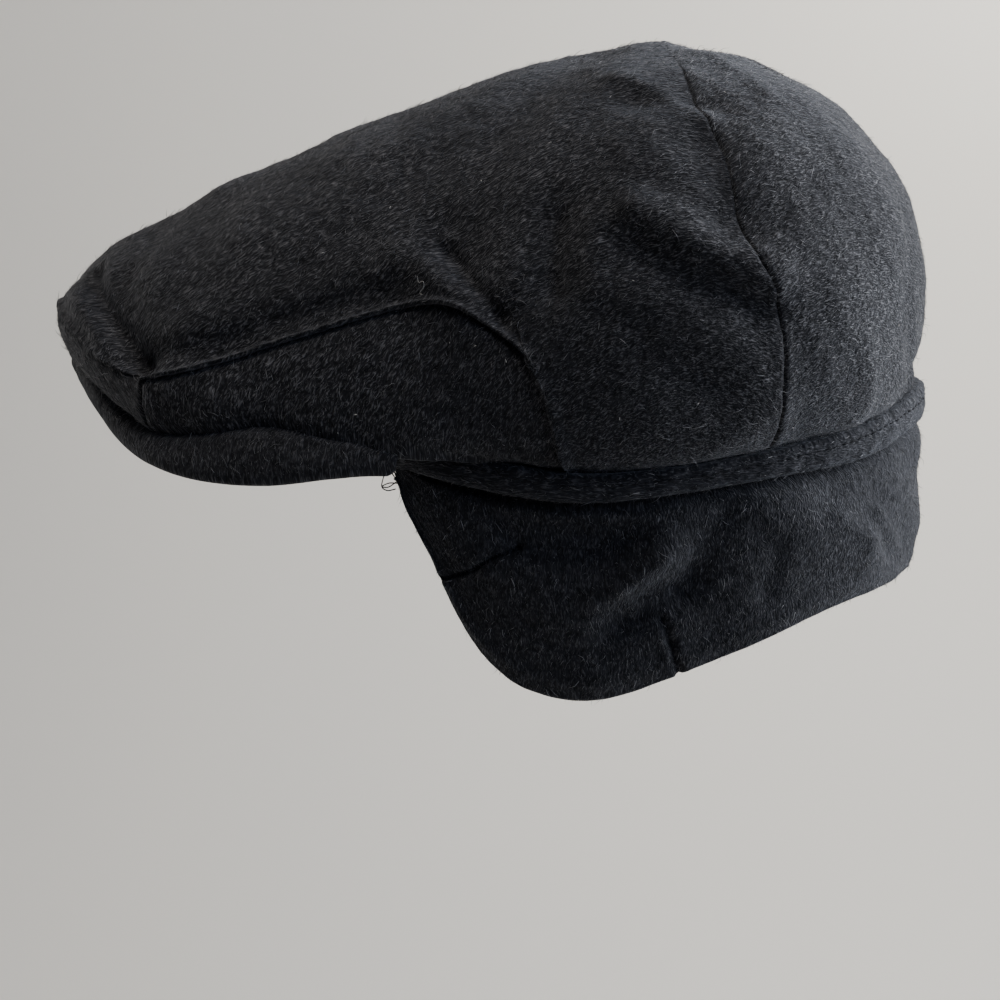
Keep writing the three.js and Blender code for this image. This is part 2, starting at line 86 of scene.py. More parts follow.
# Folds and dents of the crown, each along a line of angle and share of the way to the foot
CROWN_FOLDS = [
    # width, height, line
    (16, 3.5, [(180, 0.84), (171, 0.85)]),
    (7, -3.5, [(169, 0.83), (160, 0.90)]),
    (8, -3.0, [(135, 0.63), (128, 0.67)]),
    (7, -3.0, [(128, 0.67), (121, 0.72)]),
    (10, 3.5, [(138, 0.69), (123, 0.72)]),
    (8, -3.0, [(114, 0.55), (113, 0.66)]),
    (8, 3.5, [(98, 0.54), (86, 0.60)]),
    (8, 3.5, [(86, 0.60), (72, 0.66)]),
    (9, -3.0, [(98, 0.61), (75, 0.71)]),
    (10, -1.5, [(95, 0.79), (83, 0.83)]),
    (8, -2.5, [(100, 0.30), (82, 0.33)]),
    (6, 2.0, [(109, 0.25), (82, 0.37)]),
    (8, -2.5, [(83, 0.42), (79, 0.58)]),
    (7, -2.0, [(0, 0.12), (0, 0.45)]),
    (8, -3.0, [(0, 0.45), (0, 0.98)]),
]

# Finer creases, added to the folds on the side that the last column names
BOTH, LEFT, RIGHT = 0, -1, 1
CROWN_CREASES = [
    # width, height, side, line
    (3.5, -4.0, LEFT, [(175, 0.85), (171, 0.866), (167, 0.878), (163, 0.888), (160, 0.905)]),
    (3.4, 1.5, LEFT, [(176, 0.893), (170, 0.904), (165, 0.909)]),
    (5.6, -2.6, BOTH, [(160, 0.887), (154, 0.86), (149, 0.822), (143, 0.777), (137.5, 0.735)]),
    (16.0, 2.4, BOTH, [(180, 0.66), (180, 0.76)]),
    (15.0, -1.8, BOTH, [(0, 0.55), (0, 0.62)]),
    (20.0, -2.2, BOTH, [(0, 0.74), (0, 0.88)]),
    (3.0, -3.2, LEFT, [(134, 0.655), (128, 0.69), (121, 0.735)]),
    (3.2, 1.0, LEFT, [(134.5, 0.70), (129, 0.718), (124, 0.73)]),
    (3.4, -1.9, LEFT, [(114.5, 0.56), (113.3, 0.617), (112.5, 0.69)]),
    (3.6, 0.7, LEFT, [(107, 0.54), (106, 0.60), (104, 0.68)]),
    (2.8, 1.4, LEFT, [(99, 0.548), (93, 0.58), (86, 0.614), (78, 0.655), (72, 0.687)]),
    (3.8, -0.8, LEFT, [(97, 0.613), (91, 0.643), (86, 0.675), (77, 0.717)]),
    (3.6, -0.9, LEFT, [(98, 0.495), (92, 0.517), (86, 0.545), (80, 0.585)]),
    (3.2, 0.9, LEFT, [(109, 0.25), (98, 0.28), (88, 0.325), (80, 0.36)]),
    (3.4, -0.7, LEFT, [(101, 0.30), (92, 0.312), (82, 0.33)]),
    (4.5, 0.9, LEFT, [(70, 0.885), (76, 0.91), (83, 0.945)]),
    (4.5, -1.0, LEFT, [(96, 0.775), (89, 0.81), (82, 0.84)]),
    (3.6, -0.9, LEFT, [(104, 0.70), (98, 0.73), (91, 0.72)]),
    (3.4, 0.7, LEFT, [(104, 0.76), (98, 0.79), (92, 0.785)]),
    (4.2, 0.8, LEFT, [(60, 0.10), (58, 0.22), (56, 0.34)]),
    (4.0, 0.8, RIGHT, [(176, 0.86), (168, 0.88), (161, 0.92)]),
    (3.4, -1.6, RIGHT, [(135, 0.60), (128, 0.66), (122, 0.72)]),
    (3.6, -1.2, RIGHT, [(112, 0.50), (113, 0.60), (115, 0.71)]),
    (3.6, 0.9, RIGHT, [(104, 0.50), (94, 0.57), (83, 0.60)]),
    (4.0, -1.0, RIGHT, [(100, 0.66), (87, 0.70), (74, 0.69)]),
    (3.6, 0.8, RIGHT, [(102, 0.24), (88, 0.31), (80, 0.38)]),
    (4.0, -1.0, RIGHT, [(40, 0.58), (46, 0.72), (44, 0.86)]),
    (4.5, -0.7, LEFT, [(30, 0.62), (36, 0.74), (33, 0.88)]),
    (4.5, 0.8, LEFT, [(52, 0.80), (48, 0.90), (50, 0.97)]),
    (6.0, -2.6, BOTH, [(2, 0.93), (14, 0.94), (26, 0.95)]),
    (2.2, -1.4, BOTH, [(9, 0.82), (7, 0.91), (8, 1.0)]),
    (2.4, 1.2, BOTH, [(13, 0.84), (12, 0.92), (13, 1.0)]),
    (2.2, -1.0, BOTH, [(18, 0.87), (17, 0.94), (18, 1.0)]),
]

# Seams of the crown, as lines of angle and share
CORONAL_SEAM = [
    (84, 0), (84, 0.2), (82, 0.34), (78.5, 0.44), (78, 0.52), (77.5, 0.575), (75, 0.64),
    (72, 0.69), (70.5, 0.76), (70, 0.83), (69.5, 0.9), (68.5, 1),
]
SIDE_SEAM = [
    (159, 0.924), (154.5, 0.9), (150.3, 0.872), (146, 0.84), (141.3, 0.803), (137.7, 0.776),
    (133, 0.754), (127.7, 0.744), (124, 0.749), (121, 0.759), (117.7, 0.775), (115.3, 0.796),
    (113, 0.83), (111.8, 0.867), (111, 0.908), (110.5, 0.955), (110, 1),
]
FRONT_SEAM = [(180, 0.928), (170, 0.932), (164, 0.93), (159, 0.924)]
CORNER_SEAM = [(159, 0.924), (159, 1)]
BACK_SEAM = [(0, 0), (0, 1)]

# Outer edge of the peak from its middle to its end, and where it meets the band
PEAK_EDGE = [
    # x, y, z
    (-171.5, 0, 33.0), (-168.5, 15, 29.5), (-163.8, 30, 24.8), (-158, 42, 20.5),
    (-151.8, 52, 16.4), (-139.6, 66, 10.6), (-124.5, 75.5, 7.2), (-102.5, 83, 6.6),
    (-82, 85.5, 9), (-63, 85, 11),
]
PEAK_ROOT = [(127, 13.8), (140, 18.5), (160, 25), (180, 27.5)]
BAND_LOWER_EDGE = [
    (0, 15), (21, 12), (42, 7.5), (61, 5.6), (79, 2.2), (94, 0), (105, 1.6), (115, 4.2),
    (124, 6.9), (140, 11), (160, 17), (180, 20),
]

# The flap's lower edge, and how far its upper edge, middle and lower edge stand out
FLAP_SECTIONS = [
    # angle, lower_z, upper_out, middle_out, lower_out
    (0, -37.5, -1.5, 0.5, -1.5),
    (20, -36.5, -1.5, 0.5, -0.5),
    (35, -36.5, -1.5, 1.0, 0.5),
    (45, -38.0, -1.5, 1.5, 0.5),
    (55, -42.0, -1.5, 1.0, -0.5),
    (65, -48.5, -1.5, 0.0, -2.5),
    (75, -55.0, -1.5, -1.0, -4.5),
    (85, -61.5, -1.5, -1.0, -5.5),
    (93, -64.0, -1.5, -1.0, -6.0),
    (101, -62.5, -1.5, -1.0, -6.0),
    (107.5, -57.0, -1.5, -1.5, -5.5),
    (113, -47.0, -1.5, -2.0, -5.0),
    (117, -35.0, -1.5, -2.0, -4.0),
    (121, -21.0, -1.5, -1.5, -3.0),
    (124.5, -9.0, -1.5, -1.5, -2.0),
    (127.5, 2.0, -1.5, -1.5, -1.5),
]
FLAP_FOLDS = [
    # width, height, line of angle and share of the way down
    (9, -3.5, [(106, 0.24), (88, 0.22)]),
    (6, 3.0, [(91, 0.47), (79, 0.31)]),
    (6, -3.0, [(88, 0.64), (75, 0.50)]),
    (12, 3.0, [(62, 0.20), (40, 0.60)]),
    (9, 2.0, [(30, 0.35), (12, 0.70)]),
]
FLAP_CREASES = [
    # width, height, side, line
    (3.5, -1.2, LEFT, [(105, 0.27), (97, 0.30), (90, 0.26), (84, 0.17)]),
    (2.6, 1.2, LEFT, [(88, 0.43), (83.5, 0.355), (80.5, 0.32)]),
    (5.0, -1.0, LEFT, [(74, 0.42), (72, 0.30), (70, 0.20)]),
    (3.2, -1.2, LEFT, [(83, 0.50), (79.5, 0.47), (76, 0.56)]),
    (5.0, 0.9, LEFT, [(100, 0.52), (93, 0.60), (87, 0.72)]),
    (3.5, -0.9, LEFT, [(64, 0.30), (60, 0.50), (62, 0.72)]),
    (2.8, 0.9, LEFT, [(48, 0.36), (44.4, 0.472), (40, 0.60)]),
    (2.8, 0.9, LEFT, [(36, 0.44), (31, 0.62), (24, 0.83)]),
    (8.0, 2.0, BOTH, [(0, 0.20), (14, 0.20)]),
    (3.2, -0.8, LEFT, [(41, 0.40), (36, 0.56), (32, 0.74)]),
    (3.5, -0.9, RIGHT, [(104, 0.20), (92, 0.36), (84, 0.40)]),
    (3.2, 0.9, RIGHT, [(88, 0.50), (81, 0.38), (74, 0.28)]),
    (3.6, -0.9, RIGHT, [(58, 0.24), (52, 0.46), (56, 0.70)]),
    (3.6, 0.8, RIGHT, [(30, 0.30), (24, 0.55), (26, 0.76)]),
]
# Darts, sewn from the edge inward, which round the flap over the ear
FLAP_DARTS = [
    [(118.5, 0.93), (117.6, 0.849), (116, 0.709), (110.2, 0.422), (104.8, 0.286)],
    [(76.4, 1.0), (76.7, 0.97), (78.3, 0.80), (79.9, 0.653)],
]

# Seams and hems in section: how far the cloth sinks or stands up, and how wide
GROOVE_DEPTH, GROOVE_WIDTH = 0.75, 0.45
DART_DEPTH, DART_WIDTH = 2.2, 0.9
SHOULDER_LIFT, SHOULDER_AT, SHOULDER_WIDTH = 0.12, 2.4, 1.6
SEAM_FADE = (30.0, 55.0)
EDGE_LIFT, EDGE_AT, EDGE_WIDTH = 1.5, 0.65, 0.85
BEHIND_EDGE, BEHIND_AT, BEHIND_WIDTH = 0.35, 2.8, 1.0
UNDER_DEPTH, UNDER_WIDTH = 1.5, 1.6
CLOSE_PART = 0.28
FOOT_DROP, FOOT_DROP_WIDTH = 2.4, 1.2
FOOT_DEPTH, FOOT_WIDTH = 1.1, 2.6
FRONT_TUCK = [
    # angle, depth and width of the fold where the strip meets the peak
    (0, 0.0, 1.3), (135, 0.0, 1.3), (152, 1.2, 1.3), (162, 2.2, 1.4), (180, 2.6, 1.5),
]
PUCKER_LIFT, PUCKER_PITCH, PUCKER_REACH, PUCKER_WANDER = 0.22, 7.5, 6.0, (1.7, 11.0)
TUCK_LIFT, TUCK_PITCH, TUCK_REACH, TUCK_WANDER = 0.28, 3.1, 1.8, (2.3, 5.0)
RIM_BULGE = 0.3
SIDE_BLEND = 20

# Soft unevenness of the cloth as wavelength and height
WAVES = 36
SWELL = (34.0, 0.55)
RIPPLE = (13.0, 0.16)
GRAIN = (4.2, 0.05)
CROWN_SEED = 11

# Steps of the tables and lines
TABLE_ANGLES, TABLE_SHARES, SHARE_BEYOND = 361, 421, 1.05
RAY_STEPS = 161
LINE_STEPS = 12
FOOT_STEPS = 60
DISC_STEP = 0.004
RIM_STEPS = 4

# Steps of each panel's grid and the rough size that they cover, and the rim's closer ones.
# FOOT_PART of the top panel's rows end on the crown's foot, the others on the side seam
TOP_ROWS, TOP_COLUMNS = (140, 220), (78, 130)
BACK_ROWS, BACK_COLUMNS = (84, 150), (56, 120)
SIDE_COLUMNS, SIDE_ROWS = (110, 150), (22, 40)
STRIP_COLUMNS, STRIP_ROWS = (40, 70), (8, 20)
RIM_SPACING = (0.3, 0.65, 1.05, 1.5, 2.1, 3.0)
FOOT_PART = 6 / 22


def values_at(rows, at):
    """Smooth values between the rows of a table, whose first column is the position."""
    rows = np.asarray(rows, float)
    place, value = rows[:, 0], rows[:, 1:]
    gap = np.diff(place)[:, None]
    rise = np.diff(value, axis=0) / gap
    slope = np.zeros_like(value)
    slope[1:-1] = (rise[:-1] * gap[1:] + rise[1:] * gap[:-1]) / (gap[1:] + gap[:-1])
    at = np.clip(np.asarray(at, float), place[0], place[-1])
    k = np.clip(np.searchsorted(place, at, side="right") - 1, 0, len(place) - 2)
    span = gap[k]
    u = ((at - place[k]) / span[..., 0])[..., None]
    return (
        (1 + 2 * u) * (1 - u) ** 2 * value[k]
        + u * (1 - u) ** 2 * span * slope[k]
        + u * u * (3 - 2 * u) * value[k + 1]
        + u * u * (u - 1) * span * slope[k + 1]
    )


def unit(vectors):
    """The vectors at length 1."""
    return vectors / np.maximum(np.linalg.norm(vectors, axis=-1, keepdims=True), 1e-9)


def distances(line):
    """How far along a line each of its points lies."""
    return np.r_[0, np.cumsum(np.linalg.norm(np.diff(line, axis=0), axis=1))]


def interpolated(at, along, values):
    """Rows of values between the places where they are known."""
    return np.stack([np.interp(at, along, values[:, c]) for c in range(values.shape[1])], -1)


def between(grid, i, j, u, v):
    """Values of a grid at parts u and v of the way across its cells i, j."""
    return (
        grid[i, j] * (1 - u) * (1 - v) + grid[i + 1, j] * u * (1 - v)
        + grid[i, j + 1] * (1 - u) * v + grid[i + 1, j + 1] * u * v
    )


def crown_table():
    """Reach and height over an even grid of angle and share, and each ray's length."""
    angles = np.linspace(0, 180, TABLE_ANGLES)
    shares = np.linspace(0, SHARE_BEYOND, TABLE_SHARES)
    turn = np.linspace(0, math.pi / 2, RAY_STEPS)
    table = np.zeros((TABLE_ANGLES, TABLE_SHARES, 2))
    lengths = np.zeros(TABLE_ANGLES)
    for i, row in enumerate(values_at(CROWN_RAYS, angles)):
        reach, wide_z, foot_reach, foot_z, roundness, shoulder = row
        out = reach * np.sin(turn) ** (2 / roundness)
        up = wide_z + (APEX_Z - wide_z) * np.abs(np.cos(turn)) ** (2 / shoulder)
        low_out = foot_reach + (reach - foot_reach) * np.abs(np.cos(turn[1:])) ** FOOT_TUCK
        low_up = wide_z - (wide_z - foot_z) * np.sin(turn[1:])
        ray = np.stack([np.r_[out, low_out], np.r_[up, low_up]], -1)
        along = distances(ray)
        lengths[i] = along[-1]
        at = shares * along[-1]
        beyond = np.maximum(at - along[-1], 0)[:, None] * unit(ray[-1] - ray[-3])
        table[i] = interpolated(at, along, ray) + beyond
    return table, lengths


CROWN_TABLE, RAY_LENGTHS = crown_table()


def disc(line):
    """Disc places of angle and share on the wearer's left, where q is below zero."""
    angle, share = np.radians(np.asarray(line, float)[:, 0]), np.asarray(line, float)[:, 1]
    return np.stack([share * np.cos(angle), -share * np.sin(angle)], -1)


def disc_angle(places):
    """Angle from the nape, the same on both sides."""
    return np.degrees(np.arctan2(np.abs(places[..., 1]), places[..., 0]))


def dome(places):
    """The smooth dome, before its folds, over disc places."""
    angle = disc_angle(places)
    share = np.minimum(np.hypot(places[..., 0], places[..., 1]), SHARE_BEYOND)
    a = angle / 180 * (TABLE_ANGLES - 1)
    s = share / SHARE_BEYOND * (TABLE_SHARES - 1)
    i = np.minimum(a.astype(int), TABLE_ANGLES - 2)
    j = np.minimum(s.astype(int), TABLE_SHARES - 2)
    u, v = (a - i)[..., None], (s - j)[..., None]
    out, up = np.moveaxis(between(CROWN_TABLE, i, j, u, v), -1, 0)
    turn = np.radians(angle)
    side = np.where(places[..., 1] < 0, -1.0, 1.0)
    return np.stack([APEX_X + out * np.cos(turn), side * out * np.sin(turn), up], -1)


def ray_length(places):
    """Length of the dome's ray through each disc place."""
    return np.interp(disc_angle(places), np.linspace(0, 180, TABLE_ANGLES), RAY_LENGTHS)


def dome_frame(places):
    """Outward normal of the dome and its tangent towards the nape."""
    step_p, step_q = np.array([DISC_STEP, 0.0]), np.array([0.0, DISC_STEP])
    along_p = dome(places + step_p) - dome(places - step_p)
    along_q = dome(places + step_q) - dome(places - step_q)
    return unit(np.cross(along_p, along_q)), unit(along_p)


def left_side(points):
    """Points carried over to the wearer's left, where the tables are drawn."""
    return np.stack([points[..., 0], -np.abs(points[..., 1]), points[..., 2]], -1)


def smooth_line(points):
    """A centripetal Catmull-Rom line through the points."""
    points = np.asarray(points, float)
    ends = np.vstack([2 * points[0] - points[1], points, 2 * points[-1] - points[-2]])
    knots = np.r_[0, np.cumsum(np.sqrt(np.linalg.norm(np.diff(ends, axis=0), axis=1)))]
    pieces = []
    for k in range(len(points) - 1):
        (p0, p1, p2, p3), (t0, t1, t2, t3) = ends[k:k + 4], knots[k:k + 4]
        t = np.linspace(t1, t2, LINE_STEPS, endpoint=False)[:, None]
        a1 = ((t1 - t) * p0 + (t - t0) * p1) / (t1 - t0)
        a2 = ((t2 - t) * p1 + (t - t1) * p2) / (t2 - t1)
        a3 = ((t3 - t) * p2 + (t - t2) * p3) / (t3 - t2)
        b1 = ((t2 - t) * a1 + (t - t0) * a2) / (t2 - t0)
        b2 = ((t3 - t) * a2 + (t - t1) * a3) / (t3 - t1)
        pieces.append(((t2 - t) * b1 + (t - t1) * b2) / (t2 - t1))
    return np.vstack([*pieces, points[-1:]])


def at_share(line, share):
    """Points of a line at shares of its length."""
    along = distances(line)
    return interpolated(np.asarray(share) * along[-1], along, line)


def near_line(points, line):
    """Distance from a line, and how far along the line its nearest point lies."""
    best = np.full(points.shape[:-1], np.inf)
    along = np.zeros(points.shape[:-1])
    start = 0.0
    for a, b in zip(line[:-1], line[1:]):
        step = b - a
        length = np.linalg.norm(step)
        part = np.clip(((points - a) @ step) / max(length * length, 1e-12), 0, 1)
        away = np.linalg.norm(points - a - part[..., None] * step, axis=-1)
        nearer = away < best
        best[nearer] = away[nearer]
        along[nearer] = start + (part * length)[nearer]
        start += length
    return best, along


def bump(away, width):
    """A smooth hill of height 1."""
    return np.exp(-((away / width) ** 2))


def ripples(points, wavelength, seed):
    """A smooth random field over space, mostly between -1 and 1."""
    rng = np.random.default_rng(seed)
    ways = unit(rng.normal(size=(WAVES, 3))) * (2 * math.pi / wavelength)
    ways *= rng.uniform(0.7, 1.5, (WAVES, 1))
    phases = rng.uniform(0, 2 * math.pi, WAVES)
    return np.sin(points @ ways.T + phases).sum(-1) / math.sqrt(WAVES)


def unevenness(points, seed):
    """The cloth's own soft unevenness."""
    lift = np.zeros(points.shape[:-1])
    for k, (wavelength, height) in enumerate((SWELL, RIPPLE, GRAIN)):
        lift += height * ripples(points, wavelength, seed + k)
    return lift


def fold_lift(folds, points):
    """The highest ridge and the deepest dent at each point."""
    lifts = [height * bump(near_line(points, line)[0], width) for width, height, line in folds]
    return np.maximum(np.max(lifts, axis=0), 0) + np.minimum(np.min(lifts, axis=0), 0)


def crease_lift(creases, points):
    """The sum of the creases on each side."""
    lift = np.zeros(points.shape[:-1])
    near = left_side(points)
    for width, height, side, line in creases:
        on_side = 1.0 if side == BOTH else np.clip(0.5 + side * points[..., 1] / SIDE_BLEND, 0, 1)
        lift += on_side * height * bump(near_line(near, line)[0], width)
    return lift


def on_dome(line):
    """A line of angle and share, laid on the dome."""
    return dome(smooth_line(disc(line)))


SEAM_LINES = {
    "coronal": on_dome(CORONAL_SEAM),
    "side": on_dome(SIDE_SEAM),
    "front": on_dome(FRONT_SEAM),
    "corner": on_dome(CORNER_SEAM),
    "back": on_dome(BACK_SEAM),
}
CROWN_FOLD_LINES = [(width, height, dome(disc(line))) for width, height, line in CROWN_FOLDS]
CROWN_CREASE_LINES = [
    (width, height, side, on_dome(line)) for width, height, side, line in CROWN_CREASES
]


def wandering_wave(along, pitch, wander):
    """A wave along a seam whose pitch drifts a little."""
    return np.sin(2 * math.pi * along / pitch + wander[0] * np.sin(along / wander[1]))


def seam_lift(kind, away, along):
    """How a seam lifts or sinks the cloth beside it."""
    pucker = wandering_wave(along, PUCKER_PITCH, PUCKER_WANDER)
    lift = PUCKER_LIFT * pucker * np.exp(-away / PUCKER_REACH)
    if kind in ("plain", "emerging"):
        seam = SHOULDER_LIFT * bump(away - SHOULDER_AT, SHOULDER_WIDTH)
        seam -= GROOVE_DEPTH * bump(away, GROOVE_WIDTH)
        if kind == "emerging":
            seam *= np.clip((along - SEAM_FADE[0]) / (SEAM_FADE[1] - SEAM_FADE[0]), 0.1, 1)
        lift += seam
    elif kind == "dart":
        lift -= DART_DEPTH * bump(away, DART_WIDTH)
        lift += SHOULDER_LIFT * 2 * bump(away - SHOULDER_AT, SHOULDER_WIDTH)
    elif kind in ("over", "close"):
        tuck = wandering_wave(along, TUCK_PITCH, TUCK_WANDER)
        part = CLOSE_PART if kind == "close" else 1.0
        lift += part * EDGE_LIFT * bump(away - EDGE_AT, EDGE_WIDTH)
        lift += TUCK_LIFT * tuck * bump(away, TUCK_REACH)
        lift -= BEHIND_EDGE * bump(away - BEHIND_AT, BEHIND_WIDTH)
    else:
        part = CLOSE_PART if kind == "close under" else 1.0
        lift -= part * UNDER_DEPTH * bump(away, UNDER_WIDTH)
    return lift


def away_from_head(points):
    """Level directions out from the middle of the opening."""
    return unit((points - np.array([OPENING_X, 0, 0])) * np.array([1, 1, 0]))


def crown_points(places, seams, seed):
    """The crown's folded, creased and sewn surface over disc places."""
    plain = dome(places)
    normal, _ = dome_frame(places)
    near = left_side(plain)
    lift = fold_lift(CROWN_FOLD_LINES, near) + crease_lift(CROWN_CREASE_LINES, plain)
    lift += unevenness(plain, seed)
    for name, kind in seams:
        away, along = near_line(near, SEAM_LINES[name])
        lift += seam_lift(kind, away, along)
    above_foot = (1 - np.hypot(places[..., 0], places[..., 1])) * ray_length(places)
    depth, width = np.moveaxis(values_at(FRONT_TUCK, disc_angle(places)), -1, 0)
    tuck = FOOT_DEPTH * bump(above_foot, FOOT_WIDTH) + depth * bump(above_foot, width)
    drop = FOOT_DROP * bump(above_foot, FOOT_DROP_WIDTH)
    points = plain + normal * lift[..., None] - away_from_head(plain) * tuck[..., None]
    return points - drop[..., None] * np.array([0, 0, 1.0])


def graded(steps, reach, start=False, end=False):
    """Shares from 0 to 1, closer together at the ends that meet a seam."""
    near = np.array(RIM_SPACING) / reach
    low, high = (near[-1] if start else 0), (1 - near[-1] if end else 1)
    shares = np.linspace(low, high, steps + 1)
    if start:
        shares = np.r_[0, near[:-1], shares]
    if end:
        shares = np.r_[shares, 1 - near[-2::-1], 1]
    return shares


def patch(first, last, start, end, rows, columns):
    """A grid of places inside four sampled lines; first and last run along the columns."""
    u, v = rows[:, None, None], columns[None, :, None]
    return (
        (1 - u) * first[None] + u * last[None] + (1 - v) * start[:, None] + v * end[:, None]
        - (1 - u) * (1 - v) * first[0] - (1 - u) * v * first[-1]
        - u * (1 - v) * last[0] - u * v * last[-1]
    )


def foot_line(from_angle, to_angle):
    """Part of the disc's rim."""
    return disc([(angle, 1) for angle in np.linspace(from_angle, to_angle, FOOT_STEPS)])


def mirrored(places):
    """The same places on the other side."""
    return places * np.array([1, -1] if places.shape[-1] == 2 else [1, -1, 1])


def top_places():
    """The panel from the coronal seam forward, both halves in one piece."""
    coronal, side, front = (smooth_line(disc(s)) for s in (CORONAL_SEAM, SIDE_SEAM, FRONT_SEAM))
    rows = graded(*TOP_ROWS, start=True, end=True)
    columns = graded(*TOP_COLUMNS, end=True)
    foot = foot_line(CORONAL_SEAM[-1][0], SIDE_SEAM[-1][0])
    on_foot = at_share(foot, np.clip(rows / FOOT_PART, 0, 1))
    on_side = at_share(side[::-1], np.clip((rows - FOOT_PART) / (1 - FOOT_PART), 0, 1))
    rim = np.where(rows[:, None] < FOOT_PART, on_foot, on_side)
    ridge = np.stack([rows * front[0, 0], 0 * rows], -1)
    left = patch(at_share(coronal, columns), at_share(front, columns), ridge, rim, rows, columns)
    return np.concatenate([mirrored(left)[:, :0:-1], left], axis=1)


def back_places():
    """The left one of the two panels behind the coronal seam."""
    rows = graded(*BACK_ROWS, end=True)
    columns = graded(*BACK_COLUMNS, start=True, end=True)
    foot = at_share(foot_line(CORONAL_SEAM[-1][0], 0), columns)
    coronal = at_share(smooth_line(disc(CORONAL_SEAM)), rows)
    centre = np.stack([rows, 0 * rows], -1)
    return patch(0 * foot, foot, coronal, centre, rows, columns)


def side_places():
    """The crescent below the side seam, from the front corner back to the ear."""
    along = graded(*SIDE_COLUMNS, start=True)
    upper = at_share(smooth_line(disc(SIDE_SEAM)), along)
    lower = at_share(foot_line(CORNER_SEAM[0][0], SIDE_SEAM[-1][0]), along)
    down = graded(*SIDE_ROWS, start=True, end=True)[None, :, None]
    places = upper[:, None] * (1 - down) + lower[:, None] * down
    share = np.linalg.norm(upper, axis=-1)[:, None] * (1 - down[..., 0]) + down[..., 0]
    return unit(places) * share[..., None]


def strip_places():
    """The narrow strip under the front seam, between its two mitred corners."""
    upper = at_share(smooth_line(disc(FRONT_SEAM)), graded(*STRIP_COLUMNS, end=True))
    down = graded(*STRIP_ROWS, start=True, end=True)[None, :, None]
    reach = np.linalg.norm(upper, axis=-1)[:, None, None]
    left = unit(upper)[:, None] * (reach * (1 - down) + down)
    return np.concatenate([mirrored(left)[:0:-1], left], axis=0)


def grid_normals(points, outward):
    """Normals of a grid of points, turned the way that outward points."""
    normals = unit(np.cross(np.gradient(points, axis=0), np.gradient(points, axis=1)))
    return normals * np.where((normals * outward).sum(-1, keepdims=True) < 0, -1.0, 1.0)


class Cloth:
    """A grid of points with its normals, the way its nap lies, and its place on the cloth."""

    def __init__(self, points, outward, nap, flat):
        self.points = points
        self.outward = unit(outward)
        self.normals = grid_normals(points, outward)
        self.nap = unit(nap - self.normals * (nap * self.normals).sum(-1, keepdims=True))
        self.flat = flat


def crown_cloth(places, seams, nap_angle, seed):
    """One panel of the crown."""
    points = crown_points(places, seams, seed)
    normal, towards_nape = dome_frame(places)
    side = np.where(places[..., 1] < 0, 1.0, -1.0)[..., None]
    angle = math.radians(nap_angle)
    nap = towards_nape * math.cos(angle) + side * np.cross(normal, towards_nape) * math.sin(angle)
    p, q = (places * ray_length(places)[..., None]).transpose(2, 0, 1)
    q = q * side[..., 0]
    flat = np.stack([q * math.cos(angle) - p * math.sin(angle),
                     p * math.cos(angle) + q * math.sin(angle)], -1)
    return Cloth(points, normal, nap, flat)


def opening_point(angle, out, z):
    """A place round the opening, out from the outline of the band's outer face."""
    turn = np.radians(angle)
    x = OPENING_X + (OPENING_LENGTH + out) * np.cos(turn)
    return np.stack(np.broadcast_arrays(x, -(OPENING_WIDTH + out) * np.sin(turn), z), -1)


def band_edges(angle):
    """Heights of the band's lower and upper edges."""
    low = values_at(BAND_LOWER_EDGE, np.abs(angle))[..., 0]
    at = opening_point(np.abs(angle), -BAND_WALL / 2, 0)
    ray = np.degrees(np.arctan2(-at[..., 1], at[..., 0] - APEX_X))
    return low, values_at(CROWN_RAYS, ray)[..., 3] - SEAT_GAP


# The band's grid, its section, and its slanting wrinkles as pitch, height, slant and wander
BAND_STEPS, BAND_ROUND = 420, 26
BAND_SQUARENESS = 0.62
BAND_STITCH_DROP = 3.4
BAND_STITCH_DENT = (0.45, 1.1)
BAND_TWIST, BAND_TWIST_SLANT, BAND_TWIST_WANDER = (11.0, 0.22), (0.9, 1.8), (3.5, 26)
BAND_UNEVENNESS = 0.5
GATHER_RIPPLE = (4.5, 0.5)
GATHER_PART = 0.65
BAND_PUFF = [(0, 0.2), (30, 0.8), (60, 1.3), (110, 1.0), (122, 0.0), (180, 0.0)]


